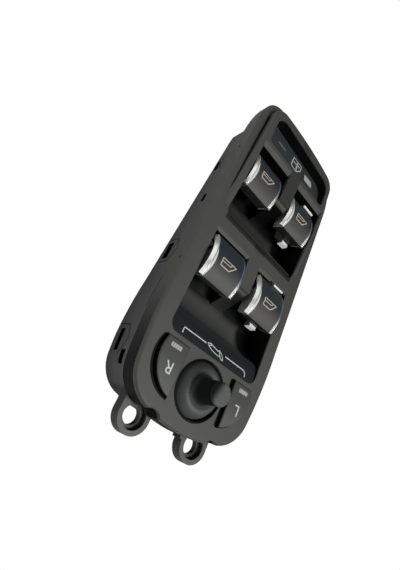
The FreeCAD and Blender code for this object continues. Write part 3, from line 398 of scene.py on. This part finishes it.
def round_path(path, radius, loop=False):
    """The same path with its corners turned into short curves."""
    rounded = []
    count = len(path)
    for i, point in enumerate(path):
        if not loop and i in (0, count - 1):
            rounded.append(point)
            continue
        corner = Vector(point)
        before, after = Vector(path[(i - 1) % count]), Vector(path[(i + 1) % count])
        start = corner + (before - corner).normalized() * radius
        end = corner + (after - corner).normalized() * radius
        for k in range(CORNER_PARTS + 1):
            t = k / CORNER_PARTS
            rounded.append(tuple(start * (1 - t) ** 2 + corner * 2 * t * (1 - t) + end * t ** 2))
    return rounded


def line_piece(name, strokes, place, material, body):
    """Add a piece made of strokes; each is a path, whether it closes, and a share of the line's width."""
    marks = bpy.context.scene.switch_marks
    solid = bmesh.new()
    for path, loop, share in strokes:
        ribbon(solid, path, marks.stroke / MM * share, marks.thickness, place, loop)
    bmesh.ops.recalc_face_normals(solid, faces=solid.faces)
    mesh = bpy.data.meshes.new(name)
    solid.to_mesh(mesh)
    solid.free()
    new_piece(name, mesh, material, body)


# Faceplate: the head rises by its slope from its start to its full rise
HEAD_START, HEAD_SLOPE, HEAD_RISE = 112.0, 0.1, 4.7

# Finger bays from front to rear, their sides and the depth where the floors' look begins. REAR_BAY and
# FRONT_BAY lie on the crossbar, and FOLD moves the rear bay over the front one.
BAYS = [(36.5, 93.0), (103.4, 154.5)]
BAY_SIDE, BAY_DEPTH = (31.4, 31.2), (0.3, 0.6)
REAR_BAY, FRONT_BAY, FOLD = (99.0, 101.0), (100.0, 98.0), (97.0, 98.0)
# Painted shade: the rear bay's floor is darker than the front one's
REAR_FLOOR_SHADE = 0.55

# Top of the rib down each bay; painted shade makes it darker in the rear one
RIB_SIDE, RIB_DEPTH, RIB_START, RIB_SHADED = (4.7, 4.55), (1.6, 1.2), (50.0, 52.0), (99.0, 103.0)
RIB_SHADE = 0.5

# Black apron: where it fades into the bay's floor, and its slope at the front bay's edge
APRON_FADE = (54.0, 43.5)
SLOPE_FRONT, SLOPE_REAR, SLOPE_SIDE, SLOPE_DEPTH = (35.3, 35.7), (45.0, 43.0), (30.9, 30.6), (0.01, 0.1)

# Painted shade: the face is darker towards the head's right side
FAR_START, FAR_TURN, FAR_FADE, FAR_SHADE = 100.0, 0.6, (-10.0, 60.0), 0.74

# Shade in the bays: under the rockers, less beside the rib, and along the bays' right sides
ROCKER_SHADE, BESIDE_RIB, RIB_LIGHT = (61.0, 68.0), (7.5, 5.5), 0.3
RIGHT_FLOOR, RIGHT_FLOOR_DEPTH = (16.0, 21.5), (2.0, 5.0)
RIGHT_WALL, RIGHT_WALL_DEPTH = (29.6, 30.1), (0.3, 1.2)

# Front edge of the rear bay, and the recess of the child lock button, both painted black as shade
LIP, LIP_SIDE, LIP_DEPTH = (101.6, 106.0), (29.6, 29.2), (4.0, 3.0)
RECESS, RECESS_SIDE, RECESS_DEPTH = (159.4, 183.4), (29.2, 28.8), (0.3, 0.7)

# Side grooves of the head, painted with a black line of shade: distance from the middle at a place along it,
# taper, width, length and height
GROOVE_SIDE, GROOVE_AT, GROOVE_TAPER = 34.9, 107.0, 0.0316
GROOVE_WIDTH, GROOVE_RUN, GROOVE_TOP = (-0.2, 0.45), (118.0, 180.5), (1.5, 0.7)

# Gaps, painted black as shade on the face beside them so that they look wider: round the joystick, along the
# round side of the R button and the straight side of the L button
STICK_GAP, STICK_GAP_RADIUS = (-0.55, 20.35), 14.35
R_GAP, R_GAP_RADIUS, R_GAP_SIDE, R_GAP_RUN = (-14.6, 26.6), 17.55, (-15.6, -15.9), (8.6, 33.6)
L_GAP_SIDE, L_GAP_RUN = (14.7, 16.2), (10.4, 33.8)

# Small round dents in the skirt's left side, painted black as the shade in them, along it and in height
SKIRT_DOTS = [(69.4, -5.1), (147.5, -4.0)]
DOT_EDGE, DOT_SIDE = (0.9, 0.5), (-38.0, -38.4)

# Skirt: all that lies outside the block and below its top edge; it is painted with shade, blacker towards the
# foot
BLOCK_SIDE, BLOCK_RUN, SKIRT_DEPTH, SKIRT_FADE = (31.5, 31.0), (9.5, 183.8), (2.3, 2.6), (62.0, 12.0)

# Share of painted black shade in each of them
PAINTED_SHADE_SHARE = {"recess": 0.9, "groove_shade": 0.7, "shade": 0.93, "lip": 0.65, "gap": 0.9, "skirt": 0.6}


class SWITCH_OT_face(bpy.types.Operator):
    """Finish the faceplate: grained face, smoother wells, and painted shade on the skirt and in the bays,
    grooves and gaps
    """

    bl_idname = "switch.face"
    bl_label = "Faceplate"

    def execute(self, context):
        colours = context.scene.switch_finish
        finish = Finish("Faceplate plastic")
        x, y, z = finish.position()
        across = abs(x)
        depth = ((y - HEAD_START) * HEAD_SLOPE).larger(0.0).smaller(HEAD_RISE) - z

        bays = largest(*[y.within(front, rear, 0.1) for front, rear in BAYS])
        rib_top = across.step(*RIB_SIDE) * depth.step(*RIB_DEPTH) * y.step(*RIB_START)
        well = across.step(*BAY_SIDE) * bays * depth.step(*BAY_DEPTH) * (1.0 - rib_top)
        slope = (y.step(*SLOPE_FRONT) * y.step(*SLOPE_REAR) * across.step(*SLOPE_SIDE)
                 * depth.step(*SLOPE_DEPTH))
        inner = across.step(*BLOCK_SIDE) * y.within(*BLOCK_RUN, 0.3)
        # Painted shade on the skirt, blacker towards the foot
        skirt_shade = (1.0 - inner) * depth.step(*SKIRT_DEPTH) * y.step(*SKIRT_FADE)

        floor = finish.mix(y.step(*APRON_FADE), rgba(colours.well), rgba(colours.apron))
        # Painted shade: the rear bay's floor is darker
        floor = finish.mix(y.step(*REAR_BAY), floor, shaded(colours.well, REAR_FLOOR_SHADE))
        # Painted shade, darker towards the head's right side
        far_shade = ((y - FAR_START) * FAR_TURN + x).step(*FAR_FADE)
        base, cloud = finish.cloudy(colours.face, 70.0, 0.95, 1.05)
        # Painted shade also darkens the rib's top in the rear bay
        for share, look in ((far_shade, shaded(colours.face, FAR_SHADE)),
                            (rib_top * y.step(*RIB_SHADED), shaded(colours.face, RIB_SHADE)),
                            (well, floor), (slope, rgba(colours.apron)), (skirt_shade, rgba(colours.skirt))):
            base = finish.mix(share, base, look)

        run = y - y.step(*FOLD) * PIVOT_PITCH
        beside_rib = across.step(*BESIDE_RIB) * y.step(*FRONT_BAY)
        shade = well * largest(run.step(*ROCKER_SHADE) * (1.0 - beside_rib * RIB_LIGHT),
                               x.step(*RIGHT_FLOOR) * depth.step(*RIGHT_FLOOR_DEPTH),
                               x.step(*RIGHT_WALL) * depth.step(*RIGHT_WALL_DEPTH))
        # Painted black shade along the rear bay's front edge and in the child lock's recess
        lip = y.within(*LIP, 0.5) * across.step(*LIP_SIDE) * depth.step(*LIP_DEPTH)
        recess = across.step(*RECESS_SIDE) * y.within(*RECESS, 0.2) * depth.step(*RECESS_DEPTH)
        # Painted black shade along the side grooves
        beside = across - (GROOVE_SIDE - (y - GROOVE_AT) * GROOVE_TAPER)
        groove_shade = beside.within(*GROOVE_WIDTH, 0.2) * y.within(*GROOVE_RUN, 3.0) * z.step(*GROOVE_TOP)
        # Painted black shade beside the gaps and in the skirt's dents
        dots = [finish.reach(y - dot_y, z - dot_z).step(*DOT_EDGE) * x.step(*DOT_SIDE)
                for dot_y, dot_z in SKIRT_DOTS]
        gap = largest(finish.disc(STICK_GAP, STICK_GAP_RADIUS),
                      finish.disc(R_GAP, R_GAP_RADIUS) * x.step(*R_GAP_SIDE) * y.within(*R_GAP_RUN, 0.2),
                      x.within(*L_GAP_SIDE) * y.within(*L_GAP_RUN), *dots)
        painted_shade = largest(recess * PAINTED_SHADE_SHARE["recess"], groove_shade * PAINTED_SHADE_SHARE["groove_shade"], shade * PAINTED_SHADE_SHARE["shade"],
                      lip * PAINTED_SHADE_SHARE["lip"], gap * PAINTED_SHADE_SHARE["gap"], skirt_shade * PAINTED_SHADE_SHARE["skirt"])
        dress(["bezel"], finish.surface(painted_shade, Base_Color=base, Roughness=cloud * 0.08 + 0.5 - well * 0.08,
                                        IOR=PLASTIC_IOR, Normal=finish.grain()))
        return {"FINISHED"}


# Slots in the case's side walls, painted black as the shade inside them, from and to along it and from and to
# in height, and the raised outlines beside them as distances along the wall and heights
SLOTS = [(21.6, 32.6, -31.0, -27.2), (16.0, 22.4, -22.8, -18.9), (74.0, 84.2, -28.0, -23.3),
         (112.8, 118.3, -20.0, -17.1), (139.6, 147.2, -24.6, -21.6)]
CASE_SEAMS = [[(35.0, -34.4), (34.6, -24.2), (27.8, -20.7), (24.7, -23.1), (19.4, -26.0)],
              [(86.5, -29.0), (86.5, -20.9), (79.0, -17.7), (71.7, -21.2), (72.0, -29.6)],
              [(43.8, -17.6), (62.0, -16.8)],
              [(149.0, -24.0), (149.0, -20.6), (139.0, -19.4)]]
SEAM_SHARE, SEAM_STEP = 1.2, 1.5

# A place outside the case's side walls, and the screw ears, painted darker as shade, with their flat tops
# painted lighter where light falls
OUTSIDE = 60.0
EARS, EAR_TOP, EAR_FLAT = (9.0, 7.0), (-18.6, -18.2), (0.6, 0.9)
EAR_SHADE, EAR_TOP_LIGHT = 0.13, 1.15


class SWITCH_OT_case(bpy.types.Operator):
    """Finish the rear case and what closes it"""

    bl_idname = "switch.case"
    bl_label = "Rear case"

    def execute(self, context):
        colours = context.scene.switch_finish
        finish = Finish("Rear shell plastic")
        y, z = finish.position()[1:]
        base, cloud = finish.cloudy(colours.case, 60.0, 0.94, 1.06)
        # Painted shade darkens the screw ears, and painted light brightens their flat tops
        ears = y.step(*EARS)
        base = finish.mix(ears, base, shaded(colours.case, EAR_SHADE))
        base = finish.mix(ears * finish.upward().step(*EAR_FLAT) * z.step(*EAR_TOP), base,
                          shaded(colours.face, EAR_TOP_LIGHT))
        # Painted black shade in the slots, over the modelled holes and a little beyond them
        slot_shade = largest(*[y.within(front, rear) * z.within(bottom, top)
                          for front, rear, bottom, top in SLOTS])
        dress(["rear_case"], finish.surface(slot_shade, Base_Color=base, Roughness=cloud * 0.1 + 0.42,
                                            IOR=PLASTIC_IOR, Normal=finish.grain(1800.0, 0.015 * MM)))

        case = NODES["rear_case"]
        wall = BVHTree.FromObject(case, context.evaluated_depsgraph_get())
        seam = moulded("Rear shell seam", shaded(colours.case, 0.1), roughness=0.7)
        strokes = [(split_path(path, SEAM_STEP), False, SEAM_SHARE) for path in CASE_SEAMS]
        for word, side in (("left", -1), ("right", 1)):
            def on_wall(y, z, out):
                start = case.matrix_world.inverted() @ at_face(side * OUTSIDE, y, z)
                hit = wall.ray_cast(start, Vector((-side, 0.0, 0.0)))[0]
                return case.matrix_world @ hit + Vector((side * out, 0.0, 0.0))

            line_piece("case_seams_" + word, strokes, on_wall, seam, "housing")
        dress(["connector_header"], moulded("Socket plastic", BLACK_PLASTIC))
        return {"FINISHED"}


# Looks along a rocker and across it from its pivot: where the cap's painted shade with a bluish painted
# reflection and the plating's shaded look take over, the painted reflection of the plating in a bright strip
# beside the left crescent, widest at its middle, and the thin line of painted reflection beside the right
# crescent
CAP_SHADE_FADE, PLATING_FADE, PLATING_SIDES = (-13.0, -5.0), (-16.0, -8.0), (-0.5, 0.5)
STRIP_MIDDLE, STRIP_WIDTH, STRIP_CURVE, STRIP_LEAST, STRIP_EDGE = -12.0, 1.15, 0.014, -0.3, (0.35, -0.15)
LINE_START, LINE_WIDENING, LINE_MORE, LINE_EDGE = (-20.0, -19.5), (-11.0, -17.0), 0.5, (-0.45, -0.25)


class SWITCH_OT_rockers(bpy.types.Operator):
    """Finish the rocker caps and their plated crescents"""

    bl_idname = "switch.rockers"
    bl_label = "Rockers"

    def execute(self, context):
        colours = context.scene.switch_finish
        finish = Finish("Rocker plastic")
        flank, run = finish.rocker_place()
        front, cloud = finish.cloudy(colours.cap, 120.0, 0.96, 1.04)
        # Painted shade with a bluish painted reflection over the caps' rear halves
        base = finish.mix(run.step(*CAP_SHADE_FADE), front, rgba(colours.cap_rear_shade_and_reflection))
        # Painted reflection of the plating: a bright strip on the cap beside the left crescent, and a thin
        # line beside the right one
        along = run - STRIP_MIDDLE
        strip = (1.0 - along * along * STRIP_CURVE).larger(STRIP_LEAST) * STRIP_WIDTH
        base = finish.mix((flank + CAP_HALF - strip).step(*STRIP_EDGE), base, rgba(colours.plating))
        sheen = finish.mix(run.step(*PLATING_FADE), rgba(colours.plating), rgba(colours.gleam))
        line = (flank - CAP_HALF + run.step(*LINE_WIDENING) * LINE_MORE).step(*LINE_EDGE)
        base = finish.mix(line * run.step(*LINE_START), base, sheen)
        dress(nodes_with("rocker_"), finish.surface(
            Base_Color=base, Roughness=cloud * 0.06 + 0.46, IOR=1.42,
            Normal=finish.grain(3000.0, 0.006 * MM, 0.4 * MM)))

        finish = Finish("Bright plating")
        flank, run = finish.rocker_place()
        base, cloud = finish.cloudy(colours.plating, 500.0, 0.94, 1.04)
        base = finish.mix(flank.step(*PLATING_SIDES) * run.step(*PLATING_FADE), base, rgba(colours.gleam))
        soft = finish.add("ShaderNodeBevel", {"samples": 16}, {"Radius": 0.7 * MM})
        dress(nodes_with("trim_"), finish.surface(Base_Color=base, Metallic=0.55, Normal=soft,
                                                  Roughness=cloud * 0.06 + 0.22))
        return {"FINISHED"}


# Window pictogram, from the rocker's pivot
WINDOW = [(-5.2, -6.3), (-5.2, -10.6), (0.9, -10.5), (4.7, -6.3)]
PANE = [(-5.2, -8.0), (0.9, -7.9), (1.9, -6.4)]
MARK_STEP = 0.5


class SWITCH_OT_window_marks(bpy.types.Operator):
    """Print a window outline on each rocker cap"""

    bl_idname = "switch.window_marks"
    bl_label = "Window marks"

    def execute(self, context):
        ink = printed("Window mark print", context.scene.switch_finish.window)
        strokes = [(split_path(round_path(WINDOW, 0.5, loop=True), MARK_STEP, loop=True), True, 1.0),
                   (split_path(round_path(PANE, 0.6), MARK_STEP), False, 0.9)]
        for corner in CORNERS:
            end, side = corner.split("_")
            pivot_x = PIVOT_X * (1 if side == "right" else -1)

            def on_cap(x, y, up):
                rise = CAP_CENTRE_Z + math.sqrt(CAP_RADIUS ** 2 - (y - CAP_CENTRE_Y) ** 2)
                return at_face(pivot_x + x, PIVOT_Y[end] + y, PIVOT_Z + rise) + Vector((0.0, 0.0, up))

            line_piece("window_mark_" + corner, strokes, on_cap, ink, "rocker_" + corner)
        return {"FINISHED"}


# Share of the font's size that a capital letter takes
CAPITAL = 0.7


def letter_piece(letter, side, place, ink):
    """Print a letter on a mirror button, to be read from the child lock's end."""
    marks = bpy.context.scene.switch_marks
    name = "letter_" + side
    curve = bpy.data.curves.new(name, "FONT")
    curve.body = letter
    curve.align_x = "CENTER"
    curve.align_y = "CENTER"
    curve.size = marks.letter / CAPITAL
    curve.extrude = marks.thickness / 2
    curve.resolution_u = 4
    made = bpy.data.objects.new(name, curve)
    bpy.context.scene.collection.objects.link(made)
    bpy.context.view_layer.update()
    mesh = bpy.data.meshes.new_from_object(made)
    bpy.data.objects.remove(made)
    place = Matrix.Translation(place + Vector((0.0, 0.0, marks.thickness / 2)))
    mesh.transform(place @ Matrix.Rotation(math.pi, 4, "Z"))
    new_piece(name, mesh, ink, "mirror_button_" + side)


# Letters of the mirror buttons with the button's side and their place
LETTERS = [("R", "left", -22.6), ("L", "right", 23.2)]
LETTER_Y = 21.4

# Mirror buttons: painted light makes them lighter at the front, and painted black shade lies on their side
# walls under the rim
BUTTON_LIGHT_FADE, BUTTON_WALL_SHADE = (28.0, 13.0), (-0.35, -0.8)

# Bars of the lenses across them, and the child lock's left lens, which is darker
LENS_BARS, LENS_BAR_EDGE, LEFT_HALF, LEFT_LENS_SHADE = 5.0, (-0.2, 0.6), (1.0, -1.0), 0.4

# Joystick: painted light on the front of the dome and on the nub above it, and painted black shade round the
# nub's foot and along the nub's left side, where its shadow falls
DOME_LIGHT_FADE, NUB_START, KNOB_LIGHT, NUB_LIGHT = (0.0, -11.0), (12.8, 13.6), 1.8, 1.75
VALLEY_SHADE, VALLEY_FADE, VALLEY_LIGHT = (9.2, 4.8), (23.0, 31.0), 0.4
NUB_SHADOW, NUB_TURN, KNOB_SHADE_SHARE = (-6.6, -11.0), 0.3, 0.87


class SWITCH_OT_mirror_controls(bpy.types.Operator):
    """Finish the mirror buttons with their lenses and letters, and the joystick"""

    bl_idname = "switch.mirror_controls"
    bl_label = "Mirror controls"

    def execute(self, context):
        colours = context.scene.switch_finish
        rim = (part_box("mirror_button_left")[1][2] - FACE_Z) / MM
        finish = Finish("Button plastic")
        y, z = finish.position()[1:]
        cloud = finish.noise(90.0)
        # Painted light: the buttons are lighter towards the front
        base = finish.mix(y.step(*BUTTON_LIGHT_FADE) * 0.8 + cloud * 0.1, shaded(colours.button, 0.75),
                          shaded(colours.button, 1.6))
        # Painted black shade on the side walls under the rim
        wall = z.step(*[rim + fall for fall in BUTTON_WALL_SHADE])
        dress(nodes_with("mirror_button_"), finish.surface(
            wall * 0.85, Base_Color=base, Roughness=cloud * 0.1 + 0.43, Normal=finish.grain(),
            IOR=PLASTIC_IOR))

        finish = Finish("Lens plastic")
        x, y = finish.position()[:2]
        bars = (x * LENS_BARS).maths("SINE").step(*LENS_BAR_EDGE)
        base = finish.mix(bars, shaded(colours.lens, 0.75), shaded(colours.lens, 1.15))
        base = finish.mix(y.step(*REAR_BAY) * x.step(*LEFT_HALF), base, shaded(colours.lens, LEFT_LENS_SHADE))
        dress(nodes_with("mirror_lens_") + nodes_with("child_lock_lens_"),
              finish.surface(Base_Color=base, Roughness=finish.noise(900.0) * 0.1 + 0.4))

        ink = printed("Letter print", colours.mark)
        for letter, side, x in LETTERS:
            letter_piece(letter, side, at_face(x, LETTER_Y, rim), ink)

        finish = Finish("Joystick plastic")
        x, y, z = finish.position()
        run = y - STICK_Y
        nub = z.step(*NUB_START)
        dome, cloud = finish.cloudy(colours.knob, 110.0, 0.92, 1.08)
        # Painted light on the dome's front and on the nub
        dome = finish.mix(run.step(*DOME_LIGHT_FADE), dome, shaded(colours.knob, KNOB_LIGHT))
        base = finish.mix(nub, dome, shaded(colours.knob, NUB_LIGHT))
        # Painted black shade round the nub's foot and its shadow along the nub's left side
        valley_shade = (finish.reach(x, run).step(*VALLEY_SHADE) * (1.0 - nub)
                  * (1.0 - y.step(*VALLEY_FADE) * VALLEY_LIGHT))
        nub_shadow = (x - y * NUB_TURN).step(*NUB_SHADOW) * nub
        dress(["joystick_knob"], finish.surface(
            largest(valley_shade, nub_shadow) * KNOB_SHADE_SHARE, Base_Color=base, Roughness=cloud * 0.1 + 0.52,
            IOR=PLASTIC_IOR, Normal=finish.grain(2200.0, 0.015 * MM, 0.6 * MM)))
        return {"FINISHED"}


# Brackets and the small car seen from above, on the front bay's apron, which falls towards the rear
LEFT_BRACKET = [(-22.4, 38.2), (-22.4, 41.1), (-7.5, 41.1)]
RIGHT_BRACKET = [(22.7, 38.2), (22.7, 41.1), (6.4, 41.1)]
CAR = [(-6.7, 41.6), (-5.6, 40.8), (-3.1, 39.7), (0.3, 39.2), (3.2, 39.2), (4.4, 38.4), (5.4, 38.3),
       (5.0, 39.8), (3.8, 40.9), (1.8, 41.9), (1.0, 41.2), (-0.2, 41.4), (-2.3, 41.8), (-4.8, 42.3)]
CAR_SCREEN = [(1.6, 41.6), (2.8, 39.9), (3.3, 39.3)]
CAR_TAIL = [(-4.6, 42.2), (-4.0, 41.5), (-5.4, 41.0)]
CAR_SHARE = 0.75
APRON_START, APRON_FALL, APRON_RUN = 35.4, 1.2, 8.6


class SWITCH_OT_face_print(bpy.types.Operator):
    """Print the brackets and the small car on the front bay's apron"""

    bl_idname = "switch.face_print"
    bl_label = "Face print"

    def execute(self, context):
        ink = printed("Face print", context.scene.switch_finish.mark)

        def on_apron(x, y):
            return -(y - APRON_START) * APRON_FALL / APRON_RUN

        strokes = [(round_path(LEFT_BRACKET, 0.9), False, 1.0), (round_path(RIGHT_BRACKET, 2.6), False, 1.0),
                   (round_path(CAR, 0.3, loop=True), True, CAR_SHARE), (CAR_SCREEN, False, CAR_SHARE),
                   (CAR_TAIL, False, CAR_SHARE)]
        line_piece("face_print", strokes, over(on_apron), ink, "housing")
        return {"FINISHED"}


# Slope of the child lock button's top, and its symbol: a rear window with a cross in it
LOCK_FRONT, LOCK_REAR, LOCK_TOP, LOCK_FALL = 160.0, 182.3, 2.0, 4.2
LOCK_PANE = [(-2.8, 176.4), (-4.3, 167.6), (0.8, 166.5), (5.0, 170.9), (5.7, 176.2)]
LOCK_CROSS_A = [(-3.3, 172.2), (4.4, 173.4)]
LOCK_CROSS_B = [(0.9, 168.0), (1.4, 175.2)]
LOCK_LAMP = [(10.2, 171.2), (17.9, 171.4)]
LOCK_LAMP_SHARE = 9.4


class SWITCH_OT_child_lock(bpy.types.Operator):
    """Finish the child lock button and print its symbol"""

    bl_idname = "switch.child_lock"
    bl_label = "Child lock"

    def execute(self, context):
        colours = context.scene.switch_finish
        dress(["child_lock_button"], moulded("Child lock plastic", colours.lock, roughness=0.4))

        def on_button(x, y):
            return LOCK_TOP - LOCK_FALL * (y - LOCK_FRONT) / (LOCK_REAR - LOCK_FRONT)

        symbol = [(round_path(LOCK_PANE, 0.8, loop=True), True, 1.6), (LOCK_CROSS_A, False, 1.8),
                  (LOCK_CROSS_B, False, 2.2)]
        for name, strokes, ink in (
                ("lock_mark", symbol, printed("Lock mark print", shaded(colours.mark, 0.72))),
                ("lock_lamp_window", [(LOCK_LAMP, False, LOCK_LAMP_SHARE)],
                 printed("Lamp window print", shaded(colours.lens, 1.15)))):
            line_piece(name, strokes, over(on_button), ink, "child_lock_button")
        return {"FINISHED"}


# Painted light on the milky light guides: their bright ends, the tip in front of the rocker and the fin
# behind it with the rise of the rear one, also glow though they are no lamps; the rest of a guide is painted
# dark as shade
TIP, TIP_SIDES = (70.2, 69.6), (21.5, 27.2)
FIN, FIN_SIDE, FIN_TOP, REAR_RISE = (88.0, 89.0), (19.6, 20.0), (-1.5, -1.2), 1.1
GUIDE_GLOW = 0.35


class SWITCH_OT_inner_pieces(bpy.types.Operator):
    """Finish the pieces inside: board, light guides, sliders, domes, pins and screws"""

    bl_idname = "switch.inner_pieces"
    bl_label = "Inner pieces"

    def execute(self, context):
        colours = context.scene.switch_finish
        finish = Finish("Milky guide plastic")
        x, y, z = finish.position()
        run = y - finish.at_rear() * PIVOT_PITCH
        rise = finish.at_rear() * REAR_RISE
        # Painted light: the guides' bright ends, which also glow; the rest is painted dark as shade
        tip = run.step(*TIP) * x.within(*TIP_SIDES, 0.2)
        fin = run.step(*FIN) * (x + rise).step(*FIN_SIDE) * (z - rise).step(*FIN_TOP)
        bright = (tip + fin) * (finish.noise(300.0) * 0.1 + 0.95)
        base = finish.mix(bright, shaded(colours.smoked, 3.0), rgba(colours.guide))
        dress(["light_guide_%s_right" % end for end in PIVOT_Y], finish.surface(
            Base_Color=base, Roughness=0.35, Emission_Color=base, Emission_Strength=GUIDE_GLOW))
        dress(["light_guide_%s_left" % end for end in PIVOT_Y],
              moulded("Smoked guide plastic", colours.smoked, roughness=0.4))
        dress(["circuit_board"], moulded("Board laminate", colours.board))
        dress(nodes_with("contact_slider_") + ["joystick_base", "joystick_gimbal"],
              moulded("Slider plastic", BLACK_PLASTIC))
        dress(nodes_with("dome_mat_"), moulded("Dome rubber", (0.05, 0.05, 0.052), roughness=0.7))
        dress(["leds"], printed("Emitter plastic", (0.7, 0.7, 0.55)))
        dress(["connector_pins"], bare_metal("Pin plating", (0.78, 0.64, 0.36)))
        dress(["case_screws"], bare_metal("Screw zinc", (0.6, 0.61, 0.62)))
        return {"FINISHED"}


# Floor: half its side and the colour that it lights the object with
FLOOR_HALF, FLOOR_COLOUR = 6.0, (0.8, 0.8, 0.8, 1.0)
WHITE = (1.0, 1.0, 1.0, 1.0)

# Lamps: place, height of the point they are aimed at, width, height, setting of the power, and whether
# they light plain surfaces or are only seen in glossy ones
LAMPS = [("Key", (0.55, -0.4, 1.4), 0.03, 0.9, 0.8, "key_power", True),
         ("Side", (-0.55, 0.12, 0.1), 0.02, 0.8, 0.2, "side_power", True),
         ("Gleam front", (-0.6, -0.2, 0.42), 0.03, 0.5, 0.45, "gleam_power", False),
         ("Gleam rear", (-0.55, 0.42, 0.4), 0.03, 0.5, 0.45, "gleam_power", False)]

# Camera: place in millimetres on the face, the directions of its right and up, and its lens
CAMERA_PLACE = (-106.85, -8.4, 131.48)
CAMERA_RIGHT, CAMERA_UP = (0.66889, 0.39735, 0.62825), (-0.56747, 0.81886, 0.08627)
CAMERA_SENSOR, CAMERA_LENS, CAMERA_NEAR = 36.0, 22.846, 0.005


class SWITCH_OT_stage(bpy.types.Operator):
    """Lay the floor, light it and set the camera"""

    bl_idname = "switch.stage"
    bl_label = "Stage"

    def execute(self, context):
        stage = context.scene.switch_stage
        self.lay_floor(stage)
        finish = Finish("Studio", world=True)
        seen = finish.add("ShaderNodeLightPath", output="Is Camera Ray")
        context.scene.world = finish.show(finish.add("ShaderNodeBackground", None, {
            "Color": WHITE, "Strength": seen * (1.0 - stage.sky) + stage.sky}))
        for name, place, aim, width, height, power, plain in LAMPS:
            data = bpy.data.lights.new(name, "AREA")
            data.shape = "RECTANGLE"
            data.size = width
            data.size_y = height
            data.energy = getattr(stage, power)
            lamp = bpy.data.objects.new(name, data)
            lamp.location = place
            way = Vector((0.0, 0.0, aim)) - Vector(place)
            lamp.rotation_euler = way.to_track_quat("-Z", "Y").to_euler()
            lamp.visible_diffuse = plain
            context.scene.collection.objects.link(lamp)
        self.set_camera(context.scene)
        context.scene.view_settings.view_transform = "Standard"
        return {"FINISHED"}

    def lay_floor(self, stage):
        solid = bmesh.new()
        bmesh.ops.create_grid(solid, x_segments=1, y_segments=1, size=FLOOR_HALF)
        mesh = bpy.data.meshes.new("floor")
        solid.to_mesh(mesh)
        solid.free()
        floor = bpy.data.objects.new("floor", mesh)
        bpy.context.scene.collection.objects.link(floor)
        finish = Finish("Floor")
        lit = finish.add("ShaderNodeBsdfDiffuse", None, {"Color": FLOOR_COLOUR})
        white = finish.add("ShaderNodeEmission", None, {"Color": WHITE, "Strength": 1.0})
        seen = finish.add("ShaderNodeLightPath", output="Is Camera Ray")
        mesh.materials.append(finish.show(finish.add("ShaderNodeMixShader", None, {
            0: seen * stage.backdrop, 1: lit, 2: white})))

    def set_camera(self, scene):
        data = bpy.data.cameras.new("Camera")
        data.sensor_fit = "VERTICAL"
        data.sensor_height = CAMERA_SENSOR
        data.lens = CAMERA_LENS
        data.clip_start = CAMERA_NEAR
        camera = bpy.data.objects.new("Camera", data)
        right, up = Vector(CAMERA_RIGHT), Vector(CAMERA_UP)
        turn = Matrix((right, up, right.cross(up))).transposed().to_4x4()
        camera.matrix_world = Matrix.Translation(at_face(*CAMERA_PLACE)) @ turn
        scene.collection.objects.link(camera)
        scene.camera = camera


OPERATORS = (SWITCH_OT_face, SWITCH_OT_case, SWITCH_OT_rockers, SWITCH_OT_window_marks,
             SWITCH_OT_mirror_controls, SWITCH_OT_face_print, SWITCH_OT_child_lock,
             SWITCH_OT_inner_pieces, SWITCH_OT_stage)


class SWITCH_PT_panel(bpy.types.Panel):
    """Colours, marks and stage of the window switch"""

    bl_idname = "SWITCH_PT_panel"
    bl_label = "Window switch"
    bl_space_type = "VIEW_3D"
    bl_region_type = "UI"
    bl_category = "Window switch"

    def draw(self, context):
        layout = self.layout
        for settings in (context.scene.switch_finish, context.scene.switch_marks,
                         context.scene.switch_stage):
            column = layout.column()
            for name in settings.__annotations__:
                column.prop(settings, name)
        for operator in OPERATORS:
            layout.operator(operator.bl_idname)


SETTINGS = {"switch_finish": FinishSettings, "switch_marks": MarkSettings, "switch_stage": StageSettings}
CLASSES = tuple(SETTINGS.values()) + OPERATORS + (SWITCH_PT_panel,)


def register():
    for made in CLASSES:
        bpy.utils.register_class(made)
    for name, kind in SETTINGS.items():
        setattr(bpy.types.Scene, name, PointerProperty(type=kind))


def unregister():
    for name in SETTINGS:
        delattr(bpy.types.Scene, name)
    for made in reversed(CLASSES):
        bpy.utils.unregister_class(made)


def main():
    register()
    for operator in OPERATORS:
        group, name = operator.bl_idname.split(".")
        getattr(getattr(bpy.ops, group), name)()


if __name__ == "__main__":
    main()
